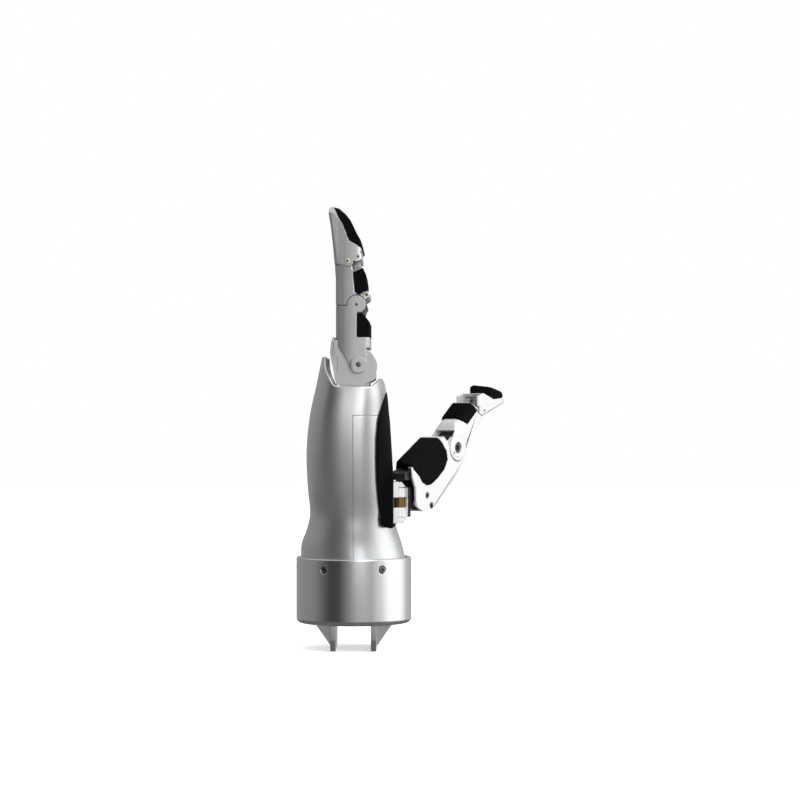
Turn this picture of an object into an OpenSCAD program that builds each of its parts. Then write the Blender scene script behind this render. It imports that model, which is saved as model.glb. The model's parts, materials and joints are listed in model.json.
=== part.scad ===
// Left dexterous robot hand, wrist collar to fingertips. Millimetres, +Z along the fingers,
// palm facing +X, index finger on the -Y side. Origin: centre of the collar's underside.

/* [Wrist] */
// Outer diameter of the wrist collar
collar_d = 70; // [66:0.5:76]
// Height of the wrist collar
collar_h = 40; // [38:0.5:46]
// Wall of the wrist collar
collar_wall = 2.6; // [2:0.1:3.4]
// Thickness of the collar's floor
collar_floor = 8; // [6:0.5:12]
// Distance of the radial screws below the collar's rim
screw_drop = 6.4; // [5:0.2:8]
// Head diameter of the radial screws
screw_head_d = 4; // [3:0.1:4.6]
// Number of radial screws
screw_count = 6; // [3:1:8]
// Bolt circle on the collar's underside
mount_circle = 50; // [44:1:54]
// Diameter of the four mounting bores
mount_bore = 4.3; // [3:0.1:5]
// Depth of the four mounting bores
mount_depth = 8; // [5:0.5:8]
// Clear gap between the two mounting plates
plate_gap = 21.2; // [16:0.2:26]
// Thickness of a mounting plate
plate_t = 3.2; // [2:0.1:5]
// Width of a mounting plate
plate_w = 56; // [40:1:60]
// How far the mounting plates hang below the collar
plate_drop = 16; // [10:0.5:24]

/* [Palm] */
// Wall of the palm shells
shell_wall = 2; // [1.6:0.1:2.6]
// Width of the palm across the knuckles
palm_w = 86; // [85:0.5:90]
// Height of the knuckle axes above the collar's rim
palm_h = 116.2; // [116:0.1:118]
// Distance of the level seam below the knuckle axes
seam_drop = 30.2; // [27:0.2:32]
// Distance of the housing's rim below the knuckle axes
rim_drop = 12.9; // [11.3:0.1:13.4]
// Thickness of the palm pad
pad_t = 1.6; // [1:0.1:2.2]

/* [Fingers] */
// Spacing of the fingers
finger_pitch = 21; // [20:0.2:23]
// Outer width of a finger
finger_w = 16.6; // [15.6:0.1:17]
// Forward offset of the knuckle axes
knuckle_x = 3.2; // [2.8:0.1:3.6]
// Knuckle axis to middle axis
proximal_l = 35.7; // [34:0.1:40]
// Middle axis to fingertip axis
middle_l = 26; // [25:0.1:30]
// Fingertip axis to the tip
tip_l = 32.4; // [30:0.1:38]
// Thickness of the finger shells' side walls
ear_t = 1.4; // [1.2:0.1:1.6]
// Running gap beside and around the joints
side_gap = 0.3; // [0.25:0.05:0.4]
// Radial clearance of a pin in its bore
pin_fit = 0.05; // [0.03:0.01:0.08]
// Radius of the pins at the ends of the links
link_pin_r = 0.8; // [0.6:0.05:1]

/* [Thumb] */
// Thumb yaw axis ahead of the hand's centre
thumb_x = 27.9; // [27.6:0.1:29]
// Thumb yaw axis to the index side
thumb_y = -20; // [-22:0.5:-18]
// Height of the middle of the thumb's yaw shaft above the collar's rim
thumb_h = 33.7; // [33.2:0.1:34.3]
// Direction that the thumb points in at rest, about the vertical
thumb_turn = 53.13; // [50:0.01:56]
// Width of the thumb
thumb_w = 17; // [16.6:0.1:18]
// Knuckle axis to tip axis of the thumb
thumb_proximal_l = 36.8; // [35:0.1:39]
// Rise of the thumb's proximal piece at rest
thumb_rise = 38.5; // [36:0.1:41]
// Rise of the thumb's tip piece at rest
thumb_tip_rise = 19; // [16:0.1:22]

/* [Hidden] */
FINGERS = ["index", "middle", "ring", "little"];

$fn = 64;
big = 200;
seat = 0.15;                 // half of the seam between two fixed pieces
silver = [0.72, 0.73, 0.75];
white = [0.9, 0.9, 0.91];
black = [0.07, 0.07, 0.075];
brass = [0.72, 0.55, 0.25];
steel = [0.45, 0.46, 0.48];
green = [0.05, 0.25, 0.12];

// Wrist
collar_r = collar_d / 2;
collar_bore_r = collar_r - collar_wall;
screw_z = collar_h - screw_drop;
screw_head_r = screw_head_d / 2;
screw_shank_r = 1.5;
screw_grip = 4.5;            // shank held in the frame's ring
neck_r = collar_bore_r - side_gap;
neck_z = collar_h - 4.2;     // foot of the palm shells, inside the collar
ring_w = 7;                  // radial width of the frame's ring
spigot_r = neck_r - shell_wall - 1;          // the ring's spigot, inside the palm shells' foot

// Heights
knuckle_z = collar_h + palm_h;
seam_z = knuckle_z - seam_drop;
rim_z = knuckle_z - rim_drop;
thumb_z = collar_h + thumb_h;

// Palm housing: [height, back, front, half width, squareness]
palm_half = palm_w / 2;
stations = [
    [neck_z, neck_r, neck_r, neck_r, 2],
    [collar_h + 7.5, neck_r - 0.2, neck_r - 2.8, neck_r, 2],
    [collar_h + 17, 28.6, 26.2, neck_r + 0.6, 2.1],
    [collar_h + 26, 26.7, 24.2, palm_half - 9.6, 2.3],
    [collar_h + 42, 28, 22.9, palm_half - 7, 2.6],
    [knuckle_z - 51.2, 28.6, 21.5, palm_half - 3.5, 2.9],
    [seam_z, 26.5, 20.2, palm_half - 1, 3.2],
    [rim_z, 22.7, 19.2, palm_half, 3.4],
    [knuckle_z - 2.7, 20.6, 14.7, palm_half - 0.5, 3.4],
    [knuckle_z + 5.8, 18.9, 10, palm_half - 4, 3.2]];
shell_top = stations[len(stations) - 1][0];

// Knuckles, in the finger's own frame: x towards the palm side, z along the finger
swing_z = -17;               // swing axis below the knuckle axis
swing_pin_r = 2.5;
block = [-10.7, 6.6];        // front-to-back extent of the knuckle block
block_half = 5.5;
plate_in = 4.9;              // inner face of the knuckle's side plates
plate_out = finger_w / 2 - ear_t - side_gap;
hub_r = 2.4;                 // hollow trunnion at the knuckle axis
boss_r = 4.9;

// Inner chassis
spine = [-8, -3];
deck_z = seam_z + 1;
deck_t = 4;
beam_t = 2;
beam_top = knuckle_z + swing_z + swing_pin_r + 0.9;
post_half = 6.5;
post_rise = 9;
seat_x = 24;                 // face the thumb's bracket sits on
finger_ys = [for (i = [0:3]) (i - 1.5) * finger_pitch];

// Finger: places of the joints and of the link pins
pip = [-1.1, proximal_l];
dip = [-6.3, proximal_l + middle_l];
half = finger_w / 2;
wall_in = half - ear_t;      // inner face of the outer walls
tab_out = wall_in - side_gap;
tab_in = 5;                  // inner face of the middle piece's walls
back = -13.3;                // back face of the proximal piece
front = 4.85;                // palm-side edge of the side walls
pad_face = 7;                // face of the proximal pad
skin = 1.6;                  // wall at the back of the finger
lower_pin = [-5.9, -1];      // on the knuckle
middle_pin = pip + [4.4, -0.8];
proximal_pin = pip + [-5.6, -2.1];
tip_pin = dip + [5.9, -3.4];
lean = 6.8;                  // backward lean of the tip piece
lower_eye = lower_pin + [-0.74, 0.07];      // the open pivots: the eye sits at the
lower_play = 0.8;                           // pin's mean place, with this much play
upper_eye = proximal_pin + [-0.49, -0.14];
upper_play = 0.51;
lower_layer = [-3.9, -0.9];
upper_layer = [0.5, 3.6];

// Thumb: places in the plane it bends in, u outwards and v up, from the middle of its yaw shaft
thumb_half = thumb_w / 2;
pitch_axis = [10, -1];
thumb_knuckle = [48.2, 32.2];
thumb_hub_r = 8;
meta_in = 6.9;               // inner face of the thumb's outer walls
thumb_tab_out = meta_in - side_gap;
thumb_tab_in = 4.6;
thumb_lower_pin = [-2.8, 0.5];               // on the metacarpal, in the proximal piece's frame
thumb_upper_pin = [4.8, thumb_proximal_l + 2.8];
thumb_eye = thumb_lower_pin + [-0.21, -0.06];
thumb_play = 0.22;
thumb_pin_r = 3.4;
bracket_h = 25;
bush_half = 3.05;
pitch_pin_r = 2;
ear_h = 3.4;
yaw_shaft_r = 2;
sleeve_r = 3.6;

// ---------- shared functions and shapes ----------

function arc(c, r, a0, a1, n = 8) = [for (i = [0:n]) let (a = a0 + (a1 - a0) * i / n) c + r * [cos(a),
    sin(a)]];
function unit(v) = v / norm(v);

// Outline across a finger or the thumb: rounded at the back, less at the palm side
function section(w, back_x, front_x, back_r, front_r) = concat(
    arc([back_x + back_r, w - back_r], back_r, 90, 180, 6), arc([back_x + back_r, -w + back_r], back_r,
        180, 270, 6),
    arc([front_x - front_r, -w + front_r], front_r, 270, 360, 3), arc([front_x - front_r, w - front_r],
        front_r, 0, 90, 3));

// The hollow behind a finger's or the thumb's back wall, with its corners rounded like the outside
module hollow(points, w, back_x, r) intersection() {
    slab(points, -w, w);
    translate([0, 0, -big]) linear_extrude(2 * big) polygon(section(w, back_x, big, r, 1));
}

// A side-view outline made y0 to y1 thick
module slab(points, y0, y1)
    translate([0, y1, 0]) rotate([90, 0, 0]) linear_extrude(y1 - y0) polygon(points);

// A round pin or bore along Y through the side-view point p
module axle(p, r, y0, y1)
    translate([p.x, y1, p.y]) rotate([90, 0, 0]) cylinder(r = r, h = y1 - y0);

// What is drawn on one side of the finger's middle plane, on both
module both_sides() {
    children();
    mirror([0, 1, 0]) children();
}

// A link: two eyes joined by a flat bar. Each end is [place, eye radius, hole radius]
module link(a, b, half_w, layer) {
    d = unit(b[0] - a[0]);
    n = half_w * [-d.y, d.x];
    difference() {
        union() {
            axle(a[0], a[1], layer[0], layer[1]);
            axle(b[0], b[1], layer[0], layer[1]);
            slab([a[0] + n, a[0] - n, b[0] - n, b[0] + n], layer[0], layer[1]);
        }
        axle(a[0], a[2], -big, big);
        axle(b[0], b[2], -big, big);
    }
}

// Smooth curve through the stations' column k at height z
function slope(i, k) = let (a = stations[max(i - 1, 0)], b = stations[min(i + 1,
    len(stations) - 1)]) (b[k] - a[k]) / (b[0] - a[0]);
function hermite(i, k, t, h) = (1 + 2 * t) * pow(1 - t, 2) * stations[i][k] + t * pow(1 - t,
    2) * h * slope(i, k)
    + t * t * (3 - 2 * t) * stations[i + 1][k] + t * t * (t - 1) * h * slope(i + 1, k);
function loft(z, k) = let (zc = max(min(z, shell_top), neck_z),
    i = max([for (j = [0:len(stations) - 2]) if (stations[j][0] <= zc) j]),
        h = stations[i + 1][0] - stations[i][0])
    hermite(i, k, (zc - stations[i][0]) / h, h);
function power(c, e) = sign(c) * pow(abs(c), e);
function palm_outline(z, grow) = let (b = loft(z, 1) + grow, f = loft(z, 2) + grow, w = loft(z,
    3) + grow, e = 2 / loft(z, 4))
    [for (a = [0:9:351]) [(f - b) / 2 + (f + b) / 2 * power(cos(a), e), w * power(sin(a), e)]];

// The palm's outer form, grown or shrunk, as one blended solid
module palm_form(grow, z0, z1) {
    steps = ceil((z1 - z0) / 8);
    n = len(palm_outline(z0, grow));
    ring = function(i, j) i * n + j % n;
    points = [for (i = [0:steps]) let (z = z0 + (z1 - z0) * i / steps)
        for (p = palm_outline(z, grow)) [p.x, p.y, z]];
    ends = [[for (j = [0:n - 1]) ring(0, j)], [for (j = [n - 1:-1:0]) ring(steps, j)]];
    sides = [for (i = [0:steps - 1]) for (j = [0:n - 1]) each [
        [ring(i, j), ring(i + 1, j), ring(i, j + 1)],
        [ring(i, j + 1), ring(i + 1, j), ring(i + 1, j + 1)]]];
    polyhedron(points = points, faces = concat(ends, sides));
}

// ---------- wrist ----------

// Radial cylinders at the screws' places, for their holes
module ring_of_screws(r, from, to)
    for (i = [0:screw_count - 1]) rotate([0, 0, 360 / screw_count * i])
        translate([from, 0, screw_z]) rotate([0, 90, 0]) cylinder(r = r, h = to - from);

// Cup that carries the hand: floor with the mounting bores, thin wall, radial screw holes
module wrist_collar() color(silver) difference() {
    rotate_extrude($fn = 128) polygon(concat([[0, 0]], arc([collar_r - 3, 3], 3, -90, 0),
        arc([collar_r - 1, collar_h - 1], 1, 0, 90, 4), [[collar_bore_r, collar_h],
        [collar_bore_r, collar_floor], [0, collar_floor]]));
    ring_of_screws(screw_head_r + 0.1, collar_bore_r - 5, collar_r + 5);
    for (i = [0:3]) rotate([0, 0, 45 + 90 * i]) translate([mount_circle / 2, 0, -1])
        cylinder(d = mount_bore, h = mount_depth + 1);
}

// Radial screws through the collar's wall into the frame's ring
module collar_screws() color(steel) for (i = [0:screw_count - 1]) rotate([0, 0, 360 / screw_count * i])
    translate([0, 0, screw_z]) rotate([0, 90, 0]) difference() {
        union() {
            translate([0, 0, neck_r + 0.05]) cylinder(r = screw_head_r, h = collar_wall);
            translate([0, 0, neck_r - screw_grip]) cylinder(r = screw_shank_r, h = screw_grip + 1);
        }
        translate([0, 0, collar_r - 1.7]) cylinder(d = screw_head_d / 2, h = 3, $fn = 6);
    }

// Two plates under the collar, each with a gusset
module mounting_plates() color(silver) for (s = [-1, 1]) scale([s, 1, 1]) {
    x0 = plate_gap / 2;
    drop_r = 8;
    translate([x0, 0, 0]) rotate([90, 0, 90]) linear_extrude(plate_t)
        polygon(concat([[-plate_w / 2, 0]], arc([-plate_w / 2 + drop_r, drop_r - plate_drop], drop_r,
            180, 270, 5),
            arc([plate_w / 2 - drop_r, drop_r - plate_drop], drop_r, 270, 360, 5), [[plate_w / 2, 0]]));
    slab([[x0 + plate_t - 1, 0], [x0 + plate_t - 1, -plate_drop + 2], [x0 + plate_t + 0.6, -plate_drop + 2],
        [x0 + plate_t + 10.4, 0]], -plate_t / 2, plate_t / 2);
}

// ---------- palm ----------

// What the rim leaves open: level beside the knuckles, a tall lip behind and a short one in front
module rim_opening() slab([[-17.6, big], [-16.9, knuckle_z - 0.2], [-14.4, rim_z + 5.8], [-12.8,
    rim_z + 2.4], [-9.3, rim_z], [9.7, rim_z],
    [12.4, rim_z + 1], [15.3, rim_z + 2.9], [16.4, rim_z + 5], [big, rim_z + 5], [big, big]], -big, big);

// The post that carries the thumb, from the spine to its seat, grown for the windows around it
module thumb_post(gap) translate([spine[1] - 1, thumb_y - post_half - gap, thumb_z - post_rise - gap])
    cube([seat_x - spine[1] + 1 + gap, 2 * (post_half + gap), 2 * (post_rise + gap)]);

// The palm's wall, all round and closed in height
module hollow_palm() difference() {
    palm_form(0, neck_z, shell_top);
    palm_form(-shell_wall, neck_z - 1, shell_top + 1);
}

// Back half, with the whole of the housing above the level seam
module palm_back_shell() color(silver) difference() {
    hollow_palm();
    translate([-seat, -big / 2, 0]) cube([big, big, seam_z + seat]);
    rim_opening();
}

// Front half below the seam, with a window for the thumb's post
module palm_front_shell() color(silver) difference() {
    intersection() {
        hollow_palm();
        translate([seat, -big / 2, 0]) cube([big, big, seam_z - seat]);
    }
    thumb_post(side_gap);
}

// The pad wraps the front of the palm between two bowed edges, and backs the thumb's bracket
pad_low = collar_h + 17.4;
pad_high = knuckle_z - 17.8;
pad_edge = [[25, pad_low], [20, pad_low + 1.3], [17.7, pad_low + 6.9], [16.1, pad_low + 17], [15.1,
    pad_low + 29.6],
    [14.8, pad_low + 42.2], [15.1, pad_high - 26.1], [16.5, pad_high - 13.4], [18.6, pad_high - 5.1],
        [19.8, pad_high],
    [big, pad_high], [big, pad_low]];
module palm_pad() color(black) difference() {
    intersection() {
        union() {
            palm_form(pad_t, pad_low - 4, pad_high + 4);
            slab([[5, pad_low], [20, pad_low + 2], [seat_x, thumb_z - bracket_h / 2 - 0.6], [seat_x,
                thumb_z + bracket_h / 2 + 0.2],
                [20.5, thumb_z + bracket_h / 2 + 0.2], [17, thumb_z + bracket_h / 2 + 2.5], [5,
                    thumb_z + bracket_h / 2 + 4]],
                thumb_y - plate_half, thumb_y + plate_half);
        }
        slab(pad_edge, -big, big);
    }
    palm_form(seat, pad_low - 5, pad_high + 5);
    thumb_post(side_gap);
    translate([seat_x, thumb_y - plate_half - side_gap, thumb_z - bracket_h / 2 - side_gap])
        cube([big, 2 * (plate_half + side_gap), bracket_h + 2 * side_gap]);
}

// Front view of the spine, as wide as the housing lets it be
spine_half = 26;
spine_outline = [[-spine_half, collar_floor], [spine_half, collar_floor], [spine_half, collar_h + 20],
    [spine_half + 5, collar_h + 50], [spine_half + 7, deck_z + 1], [-spine_half - 7, deck_z + 1],
    [-spine_half - 5, collar_h + 50], [-spine_half, collar_h + 20]];
beam_half = 33.5;
board_post_r = 2.4;
board_gap = 4;               // from the spine to the board

// Inner chassis: ring in the collar, spine, deck and the two beams that hold the knuckles' pins
module palm_frame() color(steel) difference() {
    union() {
        translate([0, 0, collar_floor]) rotate([0, 0, 180 / screw_count]) difference() {
            union() {
                cylinder(r = neck_r, h = neck_z - collar_floor - seat, $fn = 128);
                cylinder(r = spigot_r, h = collar_h - collar_floor - 1.5, $fn = 128);
            }
            translate([0, 0, -1]) cylinder(r = neck_r - ring_w, h = collar_h);
        }
        translate([spine[0], 0, 0]) rotate([90, 0, 90]) linear_extrude(spine[1] - spine[0])
            polygon(spine_outline);
        translate([-17, -beam_half - 0.5, deck_z]) cube([30, 2 * beam_half + 1, deck_t]);
        for (x = [block[0] - side_gap - beam_t, block[1] + side_gap])
            translate([knuckle_x + x, -beam_half, deck_z]) cube([beam_t, 2 * beam_half, beam_top - deck_z]);
        for (y = finger_ys) translate([knuckle_x + block[0] - side_gap - beam_t, y, knuckle_z + swing_z])
            rotate([0, 90, 0]) cylinder(r = swing_pin_r, h = block[1] - block[0] + 2 * (side_gap + beam_t));
        thumb_post(0);
        for (y = [-18, 18], z = [collar_h + 26, deck_z - 13]) translate([spine[0] - board_gap, y, z])
            rotate([0, 90, 0]) cylinder(r = board_post_r, h = board_gap + 1);
    }
    ring_of_screws(screw_shank_r + pin_fit, neck_r - screw_grip - 1, neck_r + 5);
}

// Four finger motors under the deck, each with its gearbox below
motor = [13, 13, 36];
motor_ys = [for (i = [0:3]) (i - 1.5) * 14.4];
module finger_motors() color(black) for (y = motor_ys) translate([spine[1], y - motor.y / 2,
    deck_z - motor.z]) {
    cube(motor);
    translate([motor.x / 2, motor.y / 2, -7]) cylinder(r = 5, h = 8);
}

// Control board on its posts, with three chips on its back
board_t = 1.6;
board_w = 46;
chip_t = 1.4;
module control_board() color(green) translate([spine[0] - board_gap - board_t, 0, collar_h]) {
    translate([0, -board_w / 2, 18]) cube([board_t, board_w, deck_z - collar_h - 23]);
    for (z = [30, 48, 66]) translate([-chip_t, -6, z]) cube([chip_t + 0.1, 12, 10]);
}

// C-shaped bracket: two ears on the yaw shaft, joined by a strip on either side of the yaw block
plate_half = 8;
strip_w = 4;
module thumb_bracket() color(white) difference() {
    translate([0, 0, thumb_z]) {
        for (s = [-1, 1]) intersection() {
            translate([0, 0, s * (bracket_h - ear_h) / 2 - ear_h / 2]) linear_extrude(ear_h) union() {
                translate([thumb_x, thumb_y]) circle(r = 4.2);
                polygon([[seat_x, thumb_y - plate_half], [seat_x + 3.2, thumb_y - plate_half],
                    [thumb_x + 0.5, thumb_y - 4], [thumb_x + 0.5, thumb_y + 4],
                    [seat_x + 1.7, thumb_y + plate_half], [seat_x, thumb_y + plate_half]]);
            }
            slab([[seat_x, -big], [thumb_x + 0.9, -bracket_h / 2 - 0.2], [thumb_x + 3.4,
                1 - bracket_h / 2], [thumb_x + 4.4, 4 - bracket_h / 2],
                [thumb_x + 4.4, bracket_h / 2 - 3.6], [thumb_x + 0.9, bracket_h / 2], [seat_x, big]],
                    -big, big);
        }
        translate([seat_x, thumb_y + plate_half - strip_w, -bracket_h / 2]) cube([1.7, strip_w, bracket_h]);
        difference() {
            translate([seat_x, thumb_y - plate_half, -bracket_h / 2]) cube([3.2, strip_w, bracket_h]);
            translate([seat_x - 1, thumb_y - plate_half - 1, -bush_half]) cube([6, strip_w + 2,
                2 * bush_half]);
        }
    }
    translate([thumb_x, thumb_y, 0]) cylinder(r = yaw_shaft_r + pin_fit, h = big);
}

// Upright shaft that the thumb turns on
module thumb_yaw_shaft() color(steel) translate([thumb_x, thumb_y, thumb_z - bracket_h / 2])
    cylinder(r = yaw_shaft_r, h = bracket_h);

// ---------- one finger ----------

// Fixed or swinging knuckle: block on its swing pin, two side plates, dorsal cover
module knuckle() color(silver) difference() {
    union() {
        translate([block[0], -block_half, swing_z - 5]) cube([block[1] - block[0], 2 * block_half, 12.5]);
        both_sides() slab(concat([[-7.9, 8.9], [-12.5, 4.7], [-12.6, -11.7], [block[0], -12.4],
            [block[0], -13.4], [4, -13.4], [4.6, -11.4],
            [9.4, -9.2], [10.2, -8.2]], arc([0, 0], 10.6, -18, 57, 6)), plate_in, plate_out);
        slab([[-12.4, -9.6], [-13.8, -1.5], [-14.9, 3.1], [-15.3, 7.1], [-14.95, 12.5], [-13.8, 16.3],
            [-14.9, 16.8],
            [-16.2, 13], [-16.7, 7.1], [-16.2, 3.1], [-15, -1.5], [-13.6, -9.6]], -plate_out, plate_out);
        slab([[block[0], -9.6], [block[0], -11.8], [-12.9, -11.8], [-14.4, -4.5], [-13.2, -4.5]],
            -plate_out, plate_out);
        axle(lower_pin, link_pin_r, -plate_in - 1, lower_layer[1] + 0.4);
    }
    axle([0, 0], hub_r + pin_fit, -big, big);
    translate([-big / 2, 0, swing_z]) rotate([0, 90, 0]) cylinder(r = swing_pin_r + pin_fit, h = big);
    axle(lower_pin, link_pin_r + side_gap, plate_in - 1, big);
}

pad_z = [16.6, 31.2];        // lower and upper end of the proximal pad
proximal_outline = concat(arc([0, 0], boss_r - 0.1, -160, 0), [[front, 10], [pad_face, 10], [pad_face,
    proximal_l - 10.5], [front, proximal_l - 7.6]],
    arc(pip, 5.5, -52, 187, 14), [[back, proximal_l - 0.7], [back, 11], [-12.4, 11], [-8, 5.3]]);

// Lower finger piece: hollow shell with hub bosses, trunnions and the upper link's pin
module proximal_shell() color(silver) difference() {
    union() {
        difference() {
            intersection() {
                slab(proximal_outline, -half, half);
                translate([0, 0, -20]) linear_extrude(100) polygon(section(half, back, pad_face, 5.3, 2.5));
            }
            hollow([[-30, -30], [20, -30], [20, 10], [front, 10], [front, 80], [-30, 80]], wall_in,
                back + skin, 3);
            slab([[-0.9, pad_z[0] - side_gap], [big, pad_z[0] - side_gap], [big, pad_z[1] + side_gap],
                [-0.9, pad_z[1] + side_gap]], -big, big);
        }
        both_sides() axle([0, 0], boss_r, wall_in, half + 0.5);
        both_sides() axle([0, 0], hub_r, plate_in, half);
        both_sides() axle(pip, 1.5, tab_in - 0.1, half);
        slab([[back + 0.8, proximal_l - 6], [-5.6, proximal_l - 4.2], [-5.6, proximal_l - 0.4],
            [back + 0.8, proximal_l - 0.9]], 3.9, tab_in - 0.2);
        axle(proximal_pin, link_pin_r, 0.4, tab_in - 0.4);
    }
    axle([0, 0], 1.4, -big, big);
    both_sides() axle(pip, 0.75, half - 1.2, big);
}

// Grip pad let into the lower piece
module proximal_pad() color(black) difference() {
    intersection() {
        slab([[-0.6, pad_z[0]], [pad_face, pad_z[0]], [pad_face, proximal_l - 10.7], [front,
            proximal_l - 7.9], [2, pad_z[1]], [-0.6, pad_z[1]]], -half, half);
        translate([0, 0, -20]) linear_extrude(100) polygon(section(half, back, pad_face, 5.3, 2.5));
    }
    slab([[-20, -30], [front, -30], [front, 80], [-20, 80]], -wall_in, wall_in);
}

knob = pip + [6.2, 6];
knob_r = 1.9;
middle_face = 5.3;
middle_front = 3.3;
middle_pad_z = [6.2, 21.9];  // from the middle axis up

// Rounded cross-section of the middle piece
module middle_section() translate([0, 0, -20]) linear_extrude(120)
    polygon(section(half, back - 0.6, middle_face + 2, 5.5, 3.6));

// Side view of the middle pad, grown for its window
module middle_pad_shape(grow) let (z0 = pip.y + middle_pad_z[0] - grow, z1 = pip.y + middle_pad_z[1] + grow)
    slab([[-1.8 - grow, z0 + 1.4], [0.4, z0], [2, z0 + 0.4], [3.8, z0 + 2], [middle_face + grow,
        z0 + 2.6], [middle_face + grow, z0 + 6.6],
        [4.6 + grow, z1 - 4.2], [2.9 + grow, z1], [-2.9 - grow, z1 - 2.6]], -half - grow, half + grow);

// Middle finger piece: shell between two inner walls that turn on the trunnions
module middle_shell() color(silver) difference() {
    union() {
        difference() {
            intersection() {
                slab(concat(arc(pip, 5.9, 183, 28, 12), [knob + [1.2, -1.5]], arc(knob, knob_r - 0.1,
                    -50, 60, 5), [[middle_face, pip.y + 9],
                    [middle_face, pip.y + 13], [4.6, dip.y - 7.2], [2.9, dip.y - 5.6], [-3.8, dip.y - 5.6]],
                    arc(dip, 3.8, -50, -137, 6), [[back - 0.6, dip.y - 2.6], [back, dip.y - 11], [back,
                        pip.y - 0.3]]), -half, half);
                middle_section();
            }
            hollow([[-30, -30], [30, -30], [30, 100], [-30, 100]], tab_out - 0.2, back + skin - 0.3, 4);
            for (x = [0, 1.5]) translate([x, 0, 0]) middle_pad_shape(side_gap);
        }
        both_sides() difference() {
            slab(concat(arc(pip, 5.6, 180, 390, 14), [[3.3, pip.y + 8], [0, pip.y + 9], [-2,
                pip.y + 18]], arc(dip, 3.2, -30, 200, 12),
                [[back + skin - 0.4, dip.y - 6], [back + skin - 0.4, pip.y + 2]]), tab_in, tab_out);
            axle(pip, 1.5 + pin_fit, -big, big);
            axle(dip, 1.2 + pin_fit, -big, big);
        }
        both_sides() axle(knob, knob_r, tab_in, half - 0.5);
        axle(middle_pin, link_pin_r, -tab_in - 0.5, lower_layer[1] + 0.4);
    }
    both_sides() axle(knob, 0.75, half - 1.2, big);
}

// Grip pad of the middle piece, over its inner walls
module middle_pad() color(black) difference() {
    intersection() { middle_pad_shape(0); middle_section(); }
    slab([[-20, -30], [middle_front, -30], [middle_front, 100], [-20, 100]], -tab_out - side_gap,
        tab_out + side_gap);
}

// Edge between the tip's shell and its pad, from the tip joint up, relative to that joint
tip_edge = [[8.5, 3.8], [7.2, 5.2], [8.6, 6.7], [7.6, 7.9], [5.3, 9.5], [1.6, 11.6], [0.3, 12.9], [-0.9,
    16.6], [-2.9, 21.6],
    [-5.6, 26.4], [-7.3, tip_l - 2.3], [-8.6, tip_l - 0.2]];
tip_back = [[-9.9, tip_l], [-11, tip_l - 1.6], [-11.3, tip_l - 4.2], [-9.9, 19.6], [-8.7, 8.9], [-7.7,
    -2.3]];

// Leaning, round-ended form that bounds the tip's shell and pad
module tip_form() intersection() {
    slab([[dip.x - 20, dip.y - 8], [dip.x + 20, dip.y - 8], [dip.x + 20, dip.y + tip_l + 2], [dip.x - 20,
        dip.y + tip_l + 2]], -half, half);
    translate([0, 0, dip.y - 3]) rotate([0, -lean, 0]) translate([0, 0, -20]) linear_extrude(80)
        polygon(section(half, dip.x - 7.9, dip.x + 12, 5.5, 6.5));
    rotate([90, 0, 90]) linear_extrude(60, center = true) polygon(concat([[-half, dip.y - 8], [half,
        dip.y - 8]],
        arc([0, dip.y + tip_l - 7], 7.2, 5, 175, 14)));
}

// Fingertip shell, forked over the middle piece
module tip_shell() color(silver) difference() {
    union() {
        difference() {
            intersection() {
                slab(concat([for (p = tip_edge) dip + p], [for (p = tip_back) dip + p], arc(dip, 3.5,
                    -139, 0, 8), [dip + [5.2, -0.5], dip + [8.5, 0.9]]), -half, half);
                tip_form();
            }
            slab([for (p = [[-6.2, -9], [-6.2, 4.4], [-1, 6.8], [4.6, 6.8], [6.8, 4.2], [6.8,
                -9]]) dip + p], -wall_in, wall_in);
        }
        both_sides() axle(dip, 1.2, tab_in - 0.1, half);
        slab(concat([dip + [3.8, 7.5]], [tip_pin + [-1.6, 0.6]], arc(tip_pin, 1.7, 200, 350, 6),
            [dip + [7.2, 3.2], dip + [6, 7.5]]), 3.9, tab_in - 0.2);
        axle(tip_pin, link_pin_r, 0.3, tab_in - 0.4);
    }
    both_sides() axle(dip, 0.6, half - 1, big);
}

// Soft fingertip
module tip_pad() color(black) intersection() {
    translate([side_gap / 2, 0, 0.1]) slab(concat([for (i = [2:len(tip_edge) - 1]) dip + tip_edge[i]],
        [dip + [-5.2, tip_l - 1.2], dip + [-0.9, tip_l - 5.2], dip + [1.6, 23.9], dip + [5.3, 16.2],
            dip + [7.6, 12.1], dip + [9.2, 7]]), -half, half);
    tip_form();
}

// Link from the knuckle's pin to the middle piece
module lower_link() color(steel)
    link([lower_eye, link_pin_r + lower_play + 1, link_pin_r + lower_play + 0.1], [middle_pin, 2,
        link_pin_r + pin_fit], 1.5, lower_layer);

// Link from the lower piece's pin to the tip
module upper_link() color(silver)
    link([upper_eye, link_pin_r + upper_play + 0.9, link_pin_r + upper_play + 0.1], [tip_pin, 2,
        link_pin_r + pin_fit], 1.5, upper_layer);

// ---------- thumb, in the frame of its plane ----------

// The thumb's own frame: x outwards, z up, y across it
module thumb_frame() translate([thumb_x, thumb_y, thumb_z]) rotate([0, 0, thumb_turn]) children();
// Puts a piece drawn like a finger's, z along it and x to its palm side, at a place with a rise
module thumb_piece(place, rise) translate([place.x, 0, place.y]) rotate([0, 90 - rise, 0]) rotate([0, 0,
    180]) children();
thumb_tip_axis = thumb_knuckle + thumb_proximal_l * [cos(thumb_rise), sin(thumb_rise)];

// Brass bush between the two sleeves of the yaw block
module thumb_bush() color(brass) difference() {
    translate([0, 0, 0.05 - bush_half]) cylinder(r = sleeve_r - side_gap, h = 2 * bush_half - 0.1);
    translate([0, 0, -big / 2]) cylinder(r = yaw_shaft_r + pin_fit, h = big);
}

yaw_half = bracket_h / 2 - ear_h - side_gap;
yaw_web = 4.2;
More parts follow.
